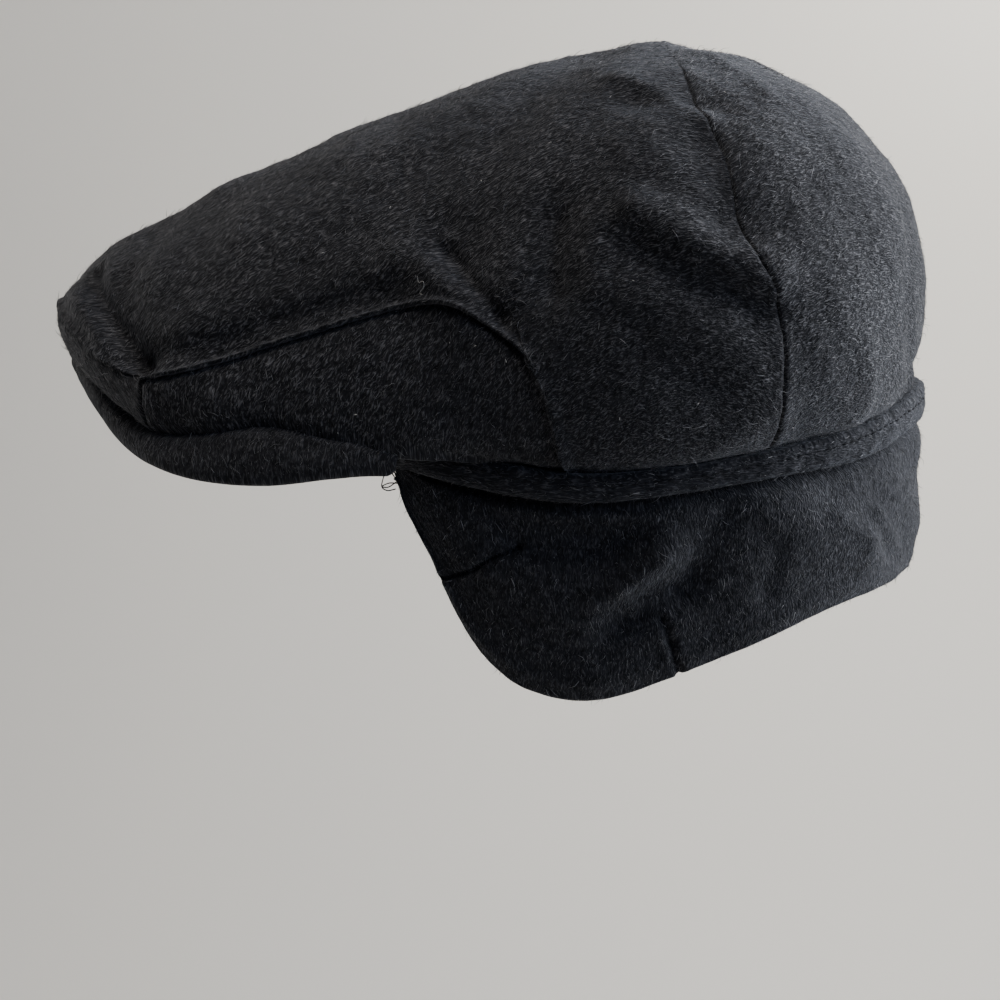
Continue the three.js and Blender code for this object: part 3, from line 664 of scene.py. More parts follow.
def band_cloth():
    """The rolled band, as a closed ring of sections."""
    angle = np.linspace(-180, 180, BAND_STEPS, endpoint=False)[:, None]
    round_it = np.linspace(0, 2 * math.pi, BAND_ROUND, endpoint=False)[None]
    low, high = band_edges(angle)
    gather = bump(angle, GATHER_ANGLE)
    roll = BAND_ROLL + GATHER_PART * GATHER_DEPTH * gather
    middle, half = (roll - BAND_WALL) / 2, (roll + BAND_WALL) / 2
    across = np.sign(np.cos(round_it)) * np.abs(np.cos(round_it)) ** BAND_SQUARENESS
    up = np.sign(np.sin(round_it)) * np.abs(np.sin(round_it)) ** BAND_SQUARENESS
    z = (low + high) / 2 + (high - low) / 2 * up
    points = opening_point(angle, middle + half * across, z)
    outside = np.clip(across, 0, 1)
    puff = values_at(BAND_PUFF, np.abs(angle))[..., 0]
    lift = outside * (BAND_UNEVENNESS * unevenness(points, 71) + puff)
    slant = points[..., 2] * BAND_TWIST_SLANT[0] + angle * BAND_TWIST_SLANT[1]
    wander = BAND_TWIST_WANDER[0] * ripples(points, BAND_TWIST_WANDER[1], 73)
    lift += outside * BAND_TWIST[1] * np.sin(2 * math.pi * slant / BAND_TWIST[0] + wander)
    lift += outside * gather * GATHER_RIPPLE[1] * np.sin(2 * math.pi * angle / GATHER_RIPPLE[0])
    lift -= outside * BAND_STITCH_DENT[0] * bump(high - BAND_STITCH_DROP - z, BAND_STITCH_DENT[1])
    out = away_from_head(points)
    points = points + out * lift[..., None]
    radius = (OPENING_LENGTH + OPENING_WIDTH) / 2
    flat = np.stack(np.broadcast_arrays(z + across * BAND_WALL, np.radians(angle) * radius), -1)
    nap = np.roll(points, -1, axis=0) - np.roll(points, 1, axis=0)
    section_out = out * across[..., None] + np.array([0, 0, 1.0]) * up[..., None]
    return Cloth(points, section_out, nap, flat)


# The peak's grid, and its lip from the outer edge to the foot of the crown
PEAK_COLUMNS, LIP_ROWS, PEAK_ROWS = 260, 22, 12
PEAK_GUIDES = 12
PEAK_UNEVENNESS = 0.35
EDGE_INSET = 0.6
EDGE_CROWDING = 1.7
LIP_TUCK, LIP_TUCK_WIDTH = 1.8, 1.3


def across_peak(half):
    """A line across the whole peak, from half of its points, middle first."""
    return smooth_line(np.vstack([half[:0:-1], half[:1], mirrored(half[1:])]))


def peak_cloth():
    """The peak's upper face, from its edge in under the crown to the band."""
    edge = across_peak(np.array(PEAK_EDGE, float) * np.array([1, -1, 1]))
    edge = edge - away_from_head(edge) * EDGE_INSET
    places = disc([(a, 1) for a in np.linspace(180, LIP_END_ANGLE, PEAK_GUIDES + 1)])
    normal, _ = dome_frame(places)
    plain = dome(places)
    lift = fold_lift(CROWN_FOLD_LINES, left_side(plain))[..., None]
    under = across_peak(plain + normal * lift - np.array([0, 0, SEAT_GAP]))
    angle = np.linspace(180, PEAK_END_ANGLE, PEAK_GUIDES + 1)
    root = across_peak(
        opening_point(angle, BAND_ROLL + SEAT_GAP, values_at(PEAK_ROOT, angle)[:, 0]))
    part = np.linspace(0, 1, PEAK_COLUMNS + 1)
    outer, rest, inner = (at_share(line, part)[:, None] for line in (edge, under, root))
    down = (1 - (1 - np.linspace(0, 1, LIP_ROWS + 1)) ** EDGE_CROWDING)[None, :, None]
    lip = outer * (1 - down) + rest * down
    bulge = LIP_BULGE * down * (1 - down) * np.linalg.norm(rest - outer, axis=-1, keepdims=True)
    reach = (1 - down) * np.linalg.norm(rest - outer, axis=-1, keepdims=True)
    lip = lip + away_from_head(lip) * (bulge - LIP_TUCK * bump(reach, LIP_TUCK_WIDTH))
    back = np.linspace(0, 1, PEAK_ROWS + 1)[None, 1:, None]
    points = np.concatenate([lip, lip[:, -1:] * (1 - back) + inner * back], axis=1)
    normals = peak_normals(points)
    points = points + normals * (PEAK_UNEVENNESS * unevenness(points, 41))[..., None]
    along = np.linalg.norm(np.diff(points[:, :1], axis=0), axis=-1).cumsum(0)
    down = np.linalg.norm(np.diff(points, axis=1), axis=-1).cumsum(1)
    along, down = np.pad(along, ((1, 0), (0, 0))), np.pad(down, ((0, 0), (1, 0)))
    flat = np.stack(np.broadcast_arrays(along, down), -1)
    return Cloth(points, normals, np.gradient(points, axis=1), flat)


def peak_normals(points):
    """Where the lip is narrow, the peak's own slope sets its thickness."""
    along = np.gradient(points[:, LIP_ROWS], axis=0)[:, None]
    inward = unit(points[:, -1] - points[:, LIP_ROWS])[:, None]
    lip = (points[:, LIP_ROWS] - points[:, 0])[:, None]
    share = (np.linalg.norm(lip, axis=-1, keepdims=True) - NARROW_LIP) / (WIDE_LIP - NARROW_LIP)
    share = np.clip(share, 0, 1)
    share = share * share * (3 - 2 * share)
    across = inward * (1 - share) + unit(lip) * share
    rows = np.arange(points.shape[1])[None, :, None]
    part = np.clip(rows / LIP_ROWS - 0.5, 0, 1)
    normals = unit(np.cross(along, across * (1 - part) + inward * part))
    return normals * np.where(normals[..., 2:] < 0, -1.0, 1.0)


# The flap's grid, how far it is pressed in below the band, and the roll along its hem
FLAP_COLUMNS, FLAP_ROWS, FLAP_HEM_STEPS = 500, 66, 1200
FLAP_HEIGHT = 60
FLAP_PRESS, FLAP_PRESS_AT, FLAP_PRESS_WIDTH = 3.0, 1.2, 2.6
HEM_ROLL_PART, HEM_ROLL_AT, HEM_ROLL_WIDTH = 0.5, 5, 3
FLAP_UNEVENNESS = 0.8
FLAT_RADIUS, FLAT_HEIGHT = 95, 72


def flap_plain(angle, drop):
    """The smooth flap at an angle and a share of the way down."""
    lower_z, upper_out, middle_out, lower_out = np.moveaxis(
        values_at(FLAP_SECTIONS, np.abs(angle)), -1, 0)
    upper_z = values_at(BAND_LOWER_EDGE, np.abs(angle))[..., 0] + FLAP_TUCK
    lower_z = lower_z + CLOTH / 2
    out = (
        (1 - drop) ** 2 * upper_out + drop**2 * lower_out
        + 2 * drop * (1 - drop) * (2 * middle_out - (upper_out + lower_out) / 2)
    )
    return opening_point(angle, out, upper_z * (1 - drop) + lower_z * drop)


def on_flap(line):
    """A line of angle and drop, laid on the flap."""
    line = smooth_line(line)
    return flap_plain(line[:, 0], line[:, 1])


def flap_cloth():
    """The flap, its columns spread evenly along its lower edge."""
    sample = np.linspace(-FLAP_END_ANGLE, FLAP_END_ANGLE, FLAP_HEM_STEPS)
    along = distances(flap_plain(sample, np.ones_like(sample)))
    shares = graded(FLAP_COLUMNS, along[-1], start=True, end=True)
    angle = np.interp(shares * along[-1], along, sample)[:, None]
    drop = graded(FLAP_ROWS, 70, start=True, end=True)[None]
    angle, drop = np.broadcast_arrays(angle, drop)
    plain = flap_plain(angle, drop)
    near = left_side(plain)
    folds = [(width, height, flap_plain(*np.array(line, float).T))
             for width, height, line in FLAP_FOLDS]
    creases = [(width, height, side, on_flap(line)) for width, height, side, line in FLAP_CREASES]
    lift = fold_lift(folds, near) + crease_lift(creases, plain)
    lift += FLAP_UNEVENNESS * unevenness(plain, 57)
    for dart in FLAP_DARTS:
        away, along_dart = near_line(near, on_flap(dart))
        lift += seam_lift("dart", away, along_dart)
    lift *= np.minimum(1, drop / FLAP_HEM)
    lift -= FLAP_PRESS * bump(drop * FLAP_HEIGHT - FLAP_PRESS_AT, FLAP_PRESS_WIDTH)
    from_hem = (1 - drop) * FLAP_HEIGHT
    lift += EDGE_LIFT * HEM_ROLL_PART * bump(from_hem - HEM_ROLL_AT, HEM_ROLL_WIDTH)
    points = plain + away_from_head(plain) * lift[..., None]
    flat = np.stack([np.radians(angle) * FLAT_RADIUS, drop * FLAT_HEIGHT], -1)
    return Cloth(points, away_from_head(points), np.gradient(points, axis=1), flat)


def closed_wall(cloth, thickness, bulge):
    """One closed wall of cloth with rounded rims, from a grid."""
    rows, columns = cloth.points.shape[:2]
    index = np.arange(rows * columns).reshape(rows, columns)
    ring = np.r_[index[0, :-1], index[:-1, -1], index[-1, :0:-1], index[:0:-1, 0]]
    inside = np.r_[index[1, :-1], index[:-1, -2], index[-2, :0:-1], index[:0:-1, 1]]
    outer = cloth.points.reshape(-1, 3).copy()
    outward = cloth.outward.reshape(-1, 3)
    flat = cloth.flat.reshape(-1, 2)
    away = unit(outer[ring] - outer[inside])
    flat_away = unit(flat[ring] - flat[inside])
    inner = outer - outward * thickness
    parts, flats = [outer, inner], [flat, flat]
    for k in range(1, RIM_STEPS):
        t = k / RIM_STEPS
        rim = outer[ring] * (1 - t) + inner[ring] * t
        parts.append(rim + away * bulge * math.sin(math.pi * t))
        flats.append(flat[ring] + flat_away * thickness * t)
    count = rows * columns
    a, b = index[:-1, :-1].ravel(), index[1:, :-1].ravel()
    c, d = index[1:, 1:].ravel(), index[:-1, 1:].ravel()
    faces = [np.stack([a, b, c, d], -1), np.stack([d, c, b, a], -1) + count]
    steps = [ring]
    steps += [2 * count + k * len(ring) + np.arange(len(ring)) for k in range(RIM_STEPS - 1)]
    steps.append(ring + count)
    for here, there in zip(steps[:-1], steps[1:]):
        faces.append(np.stack([here, np.roll(here, -1), np.roll(there, -1), there], -1))
    return np.vstack(parts), np.vstack(faces), np.vstack(flats)


def closed_ring(cloth):
    """One closed tube, from a grid that runs round on itself both ways."""
    rows, columns = cloth.points.shape[:2]
    index = np.arange(rows * columns).reshape(rows, columns)
    faces = np.stack([index, np.roll(index, -1, 0), np.roll(np.roll(index, -1, 0), -1, 1),
                      np.roll(index, -1, 1)], -1).reshape(-1, 4)
    return cloth.points.reshape(-1, 3), faces, cloth.flat.reshape(-1, 2)


def mesh_object(name, points, faces, flat=None, shade=None):
    """A mesh object from points in millimetres, with its outside turned out."""
    corners = points[faces]
    volume = (corners[:, 0] * np.cross(corners[:, 1], corners[:, 2])).sum()
    if faces.shape[1] == 4:
        volume += (corners[:, 0] * np.cross(corners[:, 2], corners[:, 3])).sum()
    if volume < 0:
        faces = faces[:, ::-1]
    mesh = bpy.data.meshes.new(name)
    mesh.vertices.add(len(points))
    mesh.vertices.foreach_set("co", (points * MM).astype(np.float32).ravel())
    mesh.loops.add(faces.size)
    mesh.loops.foreach_set("vertex_index", faces.astype(np.int32).ravel())
    mesh.polygons.add(len(faces))
    mesh.polygons.foreach_set("loop_start", np.arange(len(faces), dtype=np.int32) * faces.shape[1])
    if flat is not None:
        layer = mesh.uv_layers.new(name="nap")
        layer.data.foreach_set("uv", flat[faces.ravel()].astype(np.float32).ravel())
    if shade is not None:
        mesh.attributes.new("shade", "FLOAT", "POINT").data.foreach_set(
            "value", shade.astype(np.float32))
    mesh.update(calc_edges=True)
    mesh.validate()
    obj = bpy.data.objects.new(name, mesh)
    bpy.context.scene.collection.objects.link(obj)
    return obj


def welded(obj):
    """Merges the points that lie together where an edge is gathered, and smooths the shading."""
    shape = bmesh.new()
    shape.from_mesh(obj.data)
    bmesh.ops.remove_doubles(shape, verts=shape.verts, dist=0.01 * MM)
    bmesh.ops.dissolve_degenerate(shape, edges=shape.edges, dist=0.005 * MM)
    shape.to_mesh(obj.data)
    shape.free()
    obj.data.shade_smooth()
    return obj


def dressed(obj, material, slot, *nodes):
    """Gives a piece its material and its place in the frame."""
    obj.data.materials.append(material)
    if nodes:
        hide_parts(*nodes)
    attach(obj, "root")
    return obj


class Graph:
    """Short calls for a material's nodes."""

    def __init__(self, name):
        self.material = bpy.data.materials.new(name)
        self.material.use_nodes = True
        self.tree = self.material.node_tree
        self.shader = self.tree.nodes["Principled BSDF"]

    def node(self, kind, **settings):
        made = self.tree.nodes.new(kind)
        for key, value in settings.items():
            setattr(made, key, value)
        return made

    def link(self, source, target):
        self.tree.links.new(source, target)

    def stretched(self, vector, scale):
        """The vector times a scale for each axis."""
        made = self.node("ShaderNodeMapping")
        made.inputs["Scale"].default_value = scale
        self.link(vector, made.inputs["Vector"])
        return made.outputs["Vector"]

    def noise(self, vector, scale, detail=2.0, rough=0.5):
        made = self.node("ShaderNodeTexNoise")
        made.inputs["Scale"].default_value = scale
        made.inputs["Detail"].default_value = detail
        made.inputs["Roughness"].default_value = rough
        self.link(vector, made.inputs["Vector"])
        return made

    def math(self, operation, a, b):
        made = self.node("ShaderNodeMath", operation=operation)
        for socket, value in zip(made.inputs, (a, b)):
            if isinstance(value, (int, float)):
                socket.default_value = value
            else:
                self.link(value, socket)
        return made.outputs[0]

    def spread(self, value, low, high, to_low=0.0, to_high=1.0):
        """Maps the range from low to high onto another, and stops at its ends."""
        made = self.node("ShaderNodeMapRange", clamp=True)
        for name, number in (("From Min", low), ("From Max", high),
                             ("To Min", to_low), ("To Max", to_high)):
            made.inputs[name].default_value = number
        self.link(value, made.inputs["Value"])
        return made.outputs["Result"]

    def mix(self, factor, dark, light):
        made = self.node("ShaderNodeMix", data_type="RGBA")
        self.link(factor, made.inputs["Factor"])
        for socket, value in ((made.inputs[6], dark), (made.inputs[7], light)):
            if isinstance(value, tuple):
                socket.default_value = (*value, 1)
            else:
                self.link(value, socket)
        return made.outputs[2]


def brushed_wool(name, dark, mid, light, seed):
    """Wool whose raised fibres lie one way, with clumps, thin spots and a soft sheen."""
    g = Graph(name)
    nap = g.node("ShaderNodeUVMap", uv_map="nap").outputs["UV"]
    place = g.node("ShaderNodeTexCoord").outputs["Object"]
    drift = g.noise(g.stretched(nap, (0.13, 0.13, 1)), 1.0, 2.0)
    wander = g.node("ShaderNodeVectorMath", operation="MULTIPLY_ADD")
    g.link(drift.outputs["Color"], wander.inputs[0])
    wander.inputs[1].default_value = (3.0, 3.0, 0)
    g.link(nap, wander.inputs[2])
    bent = wander.outputs[0]
    fibres = g.noise(g.stretched(bent, (1.6, 0.30, 1)), 1.0, 2.0, 0.6).outputs["Fac"]
    hairs = g.noise(g.stretched(bent, (2.6, 0.50, 1)), 1.0, 1.0, 0.5).outputs["Fac"]
    clumps = g.noise(g.stretched(bent, (0.42, 0.22, 1)), 1.0, 3.0, 0.6).outputs["Fac"]
    thin = g.noise(place, 42.0 + seed, 3.0, 0.6).outputs["Fac"]
    bright = g.math("MAXIMUM", g.spread(fibres, 0.54, 0.70), g.spread(hairs, 0.56, 0.72))
    ground = g.mix(g.spread(clumps, 0.36, 0.64), dark, mid)
    worn = g.math("MULTIPLY", g.spread(thin, 0.32, 0.68, 0.45, 1.0),
                  g.spread(clumps, 0.30, 0.62, 0.35, 1.0))
    colour = g.mix(g.math("MULTIPLY", bright, worn), ground, light)
    g.link(colour, g.shader.inputs["Base Color"])
    height = g.math("ADD", g.math("MULTIPLY", fibres, 0.7), g.math("MULTIPLY", clumps, 1.3))
    height = g.math("ADD", height, g.math("MULTIPLY", hairs, 0.6))
    raised = g.node("ShaderNodeBump")
    raised.inputs["Strength"].default_value = 1.0
    raised.inputs["Distance"].default_value = 0.75 * MM
    g.link(height, raised.inputs["Height"])
    g.link(raised.outputs["Normal"], g.shader.inputs["Normal"])
    g.shader.inputs["Roughness"].default_value = 0.92
    g.shader.inputs["Specular IOR Level"].default_value = 0.2
    g.shader.inputs["Sheen Weight"].default_value = 0.16
    g.shader.inputs["Sheen Roughness"].default_value = 0.4
    g.shader.inputs["Sheen Tint"].default_value = (0.62, 0.66, 0.74, 1)
    return g.material


def loose_fibres(name, dark, light):
    """Single fibres of the nap, each with its own shade."""
    g = Graph(name)
    shade = g.node("ShaderNodeAttribute", attribute_name="shade").outputs["Fac"]
    g.link(g.mix(g.spread(shade, 0.0, 1.0), dark, light), g.shader.inputs["Base Color"])
    g.shader.inputs["Roughness"].default_value = 0.6
    g.shader.inputs["Specular IOR Level"].default_value = 0.35
    g.shader.inputs["Sheen Weight"].default_value = 0.1
    return g.material


def thread_material(name, dark, light):
    """Spun thread with a faint twist."""
    g = Graph(name)
    place = g.node("ShaderNodeTexCoord").outputs["Object"]
    twist = g.noise(place, 2600.0, 1.0).outputs["Fac"]
    g.link(g.mix(g.spread(twist, 0.35, 0.7), dark, light), g.shader.inputs["Base Color"])
    g.shader.inputs["Roughness"].default_value = 0.85
    g.shader.inputs["Specular IOR Level"].default_value = 0.1
    return g.material


def plain_wall(name, colour):
    """A pale painted surface with a barely uneven tone."""
    g = Graph(name)
    place = g.node("ShaderNodeTexCoord").outputs["Object"]
    mottle = g.spread(g.noise(place, 1.2, 3.0).outputs["Fac"], 0.3, 0.7)
    lighter = tuple(min(1.0, c * 1.03) for c in colour)
    g.link(g.mix(mottle, colour, lighter), g.shader.inputs["Base Color"])
    g.shader.inputs["Roughness"].default_value = 0.9
    return g.material


def cell_areas(cloth):
    """Area of each cell of a grid of cloth in square millimetres."""
    p = cloth.points
    return np.linalg.norm(np.cross(p[1:, :-1] - p[:-1, :-1], p[:-1, 1:] - p[:-1, :-1]), axis=-1)


def sampled(cloth, count, rng):
    """Random places on a grid of cloth, even over its area, with normal and nap."""
    area = cell_areas(cloth)
    chosen = rng.choice(area.size, count, p=area.ravel() / area.sum())
    i, j = np.unravel_index(chosen, area.shape)
    u, v = rng.random((2, count, 1))
    point, normal, nap = (between(grid, i, j, u, v)
                          for grid in (cloth.points, cloth.normals, cloth.nap))
    return point, unit(normal), unit(nap)


# Fibres of the nap: lengths and radii in millimetres, angles in degrees
SHORT_FIBRES = (0.8, 2.4)
LONG_FIBRES = (2.2, 5.5)
FIBRE_RADIUS = (0.045, 0.095)
FIBRE_SWING = 30
FIBRE_RISE = (1, 30)
FIBRE_STANDING, STANDING_RISE = 0.05, 35
FIBRE_ROOT = 0.12
FIBRE_BEND = 24
LONG_PART = 0.07
SHADE_POWER = 2.5
SHORT_FACES = [[2, 1, 0], [0, 1, 3], [1, 2, 3], [2, 0, 3]]
LONG_FACES = [[2, 1, 0], [0, 1, 4], [0, 4, 3], [1, 2, 5], [1, 5, 4], [2, 0, 3], [2, 3, 5],
              [3, 4, 6], [4, 5, 6], [5, 3, 6]]


def fibre_ways(normal, nap, swing, rise):
    """Directions swung round from the nap and raised off the cloth."""
    flat = nap * np.cos(swing) + np.cross(normal, nap) * np.sin(swing)
    return unit(flat * np.cos(rise) + normal * np.sin(rise))


def ring_of(middle, across, above, radius):
    """Three points round the middle of a fibre."""
    turns = (0, 2 * math.pi / 3, 4 * math.pi / 3)
    return [middle + radius * (across * math.cos(a) + above * math.sin(a)) for a in turns]


def fibres(cloths, count, lengths, bent, rng):
    """Closed tapered fibres along the nap of several cloths, straight or bent once."""
    areas = np.array([cell_areas(cloth).sum() for cloth in cloths])
    shares = np.round(count * areas / areas.sum()).astype(int)
    root, normal, nap = (np.vstack(c) for c in zip(*(
        sampled(cloth, n, rng) for cloth, n in zip(cloths, shares))))
    n = len(root)
    swing = np.radians(rng.normal(0, FIBRE_SWING, (n, 1)))
    rise = FIBRE_RISE[0] + (FIBRE_RISE[1] - FIBRE_RISE[0]) * rng.random((n, 1)) ** 2
    rise = np.radians(np.where(rng.random((n, 1)) < FIBRE_STANDING, rise + STANDING_RISE, rise))
    first = fibre_ways(normal, nap, swing, rise)
    length = rng.uniform(*lengths, (n, 1))
    radius = rng.uniform(*FIBRE_RADIUS, (n, 1))
    across = unit(np.cross(normal, first))
    above = np.cross(first, across)
    root = root - normal * FIBRE_ROOT
    corners = ring_of(root, across, above, radius)
    if bent:
        bend = np.radians(rng.normal(0, FIBRE_BEND, (n, 1)))
        middle = root + first * length * 0.5
        second = fibre_ways(normal, nap, swing + bend, rise * 0.3)
        corners += ring_of(middle, across, above, radius * 0.9)
        corners.append(middle + second * length * 0.5)
    else:
        corners.append(root + first * length)
    points = np.stack(corners, 1).reshape(-1, 3)
    faces = np.array(LONG_FACES if bent else SHORT_FACES)
    faces = (faces[None] + len(corners) * np.arange(n)[:, None, None]).reshape(-1, 3)
    return points, faces, np.repeat(rng.random(n) ** SHADE_POWER, len(corners))


def nap_fibres(cloths, count, seed):
    """Short straight fibres and a smaller share of long bent ones."""
    rng = np.random.default_rng(seed)
    short = fibres(cloths, count * (1 - LONG_PART), SHORT_FIBRES, False, rng)
    long = fibres(cloths, count * LONG_PART, LONG_FIBRES, True, rng)
    return (np.vstack([short[0], long[0]]), np.vstack([short[1], long[1] + len(short[0])]),
            np.r_[short[2], long[2]])


def tube(line, radius, sides=6, taper=False):
    """A closed tube along a line."""
    line = np.asarray(line, float)
    ahead = unit(np.gradient(line, axis=0))
    helper = np.where(np.abs(ahead[:, 2:]) < 0.9, [[0.0, 0, 1]], [[1.0, 0, 0]])
    across = unit(np.cross(ahead, helper))
    above = np.cross(ahead, across)
    turn = np.linspace(0, 2 * math.pi, sides, endpoint=False)
    size = np.full((len(line), 1, 1), radius)
    if taper:
        size = radius * np.sqrt(np.clip(1 - np.linspace(-1, 1, len(line)) ** 4, 0.05, 1))
        size = size[:, None, None]
    rings = line[:, None] + size * (across[:, None] * np.cos(turn)[None, :, None]
                                    + above[:, None] * np.sin(turn)[None, :, None])
    index = np.arange(len(line) * sides).reshape(len(line), sides)
    side = np.stack([index[:-1], index[1:], np.roll(index, -1, 1)[1:],
                     np.roll(index, -1, 1)[:-1]], -1).reshape(-1, 4)
    tris = np.vstack([side[:, [0, 1, 2]], side[:, [0, 2, 3]]])
    first, last = index[0], index[-1]
    caps = [[first[0], first[k], first[k + 1]] for k in range(1, sides - 1)]
    caps += [[last[0], last[k + 1], last[k]] for k in range(1, sides - 1)]
    return rings.reshape(-1, 3), np.vstack([tris, caps])


def joined(parts):
    """Several point and face lists as one."""
    points, faces, start = [], [], 0
    for p, f in parts:
        points.append(p)
        faces.append(f + start)
        start += len(p)
    return np.vstack(points), np.vstack(faces)


STITCH_PITCH, STITCH_LENGTH, STITCH_RADIUS, STITCH_OUT = 3.6, 2.6, 0.26, 0.1


def band_stitches(cloth):
    """The topstitch that runs round the upper part of the band."""
    _, high = band_edges(np.linspace(-180, 180, BAND_STEPS, endpoint=False))
    grid = cloth.points[:, :BAND_ROUND // 4 + 1]
    line = np.array([interpolated(height, row[:, 2], row)
                     for row, height in zip(grid, high - BAND_STITCH_DROP)])
    line = np.vstack([line, line[:1]])
    along = distances(line)
    middle = line + away_from_head(line) * STITCH_OUT
    starts = np.arange(0, along[-1] - STITCH_PITCH, STITCH_PITCH)
    return joined([
        tube(interpolated(start + np.linspace(0, STITCH_LENGTH, 5), along, middle),
             STITCH_RADIUS, 5, taper=True)
        for start in starts])


# The loose loops of thread at the flap's front end, from the flap's corner
TACK_CORNER_Z = 2.2
TACK_LOOPS = [
    [(1.0, 0, 1.4), (0.2, -0.8, 4.0), (-0.9, -0.6, 5.6), (-2.2, -0.4, 4.2), (-3.4, -0.3, 1.2),
     (-3.6, -0.2, -1.0), (-2.0, -0.4, -2.0), (0.6, 0, -1.6)],
    [(1.2, 0, 0.8), (-0.4, -0.6, 3.4), (-1.0, -0.8, 5.2), (0.4, -0.4, 4.4), (1.6, 0, 2.6)],
    [(1.0, 0, 0.2), (-1.4, -0.7, 0.4), (-3.6, -0.5, -0.7), (-1.8, -0.7, -0.9), (0.8, 0, 0.6)],
]
TACK_OUT, TACK_RADIUS = -1.0, 0.2

# Lint: pale specks by angle and share on the crown's left, and one long curled fibre
LINT_SPECKS = [
    (139, 0.955), (141, 0.99), (128, 0.80), (124, 0.79), (119, 0.80), (98, 0.66), (84, 0.50),
    (110, 0.30), (92, 0.18), (150, 0.70), (163, 0.66), (60, 0.62), (72, 0.30), (40, 0.80),
    (86, 0.86), (133, 0.52), (121, 0.42), (66, 0.93), (100, 0.88), (146, 0.60),
]
LINT_LENGTH, LINT_RADIUS, LINT_OUT, LINT_ARCH = 0.9, 0.16, 0.4, 0.1
LINT_CURL = [(135.2, 0.715), (134.8, 0.724), (134.0, 0.722), (133.7, 0.730), (134.2, 0.740),
             (133.5, 0.742)]
LINT_CURL_RADIUS, LINT_CURL_OUT = 0.075, 0.6


def tack_threads():
    """A knot of stray thread where the flap's front end is tacked to the band."""
    corner = opening_point(FLAP_END_ANGLE, TACK_OUT, TACK_CORNER_Z)
    return joined([tube(smooth_line(np.array(loop) + corner), TACK_RADIUS)
                   for loop in TACK_LOOPS])


def pale_lint():
    """Specks of lint and one curled fibre, lying on the crown."""
    rng = np.random.default_rng(5)
    places = disc(LINT_SPECKS)
    points = crown_points(places[None], [], CROWN_SEED)[0]
    normals, tangents = (way[0] for way in dome_frame(places[None]))
    parts = []
    for point, normal, tangent in zip(points, normals, tangents):
        turn = rng.uniform(0, math.pi)
        way = tangent * math.cos(turn) + np.cross(normal, tangent) * math.sin(turn)
        reach = LINT_LENGTH * rng.uniform(0.5, 1.2)
        middle = point + normal * LINT_OUT
        line = [middle - way * reach / 2, middle + normal * LINT_ARCH, middle + way * reach / 2]
        parts.append(tube(smooth_line(line), LINT_RADIUS * rng.uniform(0.6, 1.0), 5, taper=True))
    curl = disc(LINT_CURL)
    normals, _ = dome_frame(curl[None])
    curl = crown_points(curl[None], [], CROWN_SEED)[0] + normals[0] * LINT_CURL_OUT
    parts.append(tube(smooth_line(curl), LINT_CURL_RADIUS, 5, taper=True))
    return joined(parts)


# Each wool's dark, middle and light shade, and where its thin spots fall. The peak's and flap's
# light shades are set below the crown's as painted shade, since these parts lie in shade
WOOLS = {
    "crown_wool": ((0.0045, 0.0045, 0.0057), (0.0175, 0.0175, 0.020), (0.158, 0.156, 0.163), 0),
    "peak_wool": ((0.0050, 0.0050, 0.0062), (0.018, 0.018, 0.0205), (0.135, 0.133, 0.140), 3),
    "band_wool": ((0.0045, 0.0047, 0.0065), (0.014, 0.0145, 0.018), (0.10, 0.100, 0.108), 5),
    "flap_wool": ((0.0055, 0.0058, 0.0075), (0.017, 0.0175, 0.021), (0.092, 0.092, 0.10), 7),
}
THREAD_SHADES = (0.005, 0.005, 0.006), (0.022, 0.022, 0.025)
LINT_SHADES = (0.30, 0.29, 0.27), (0.62, 0.60, 0.56)
FIBRE_SHADES = (0.010, 0.010, 0.0125), (0.28, 0.28, 0.294)
FIBRE_SEED = 100


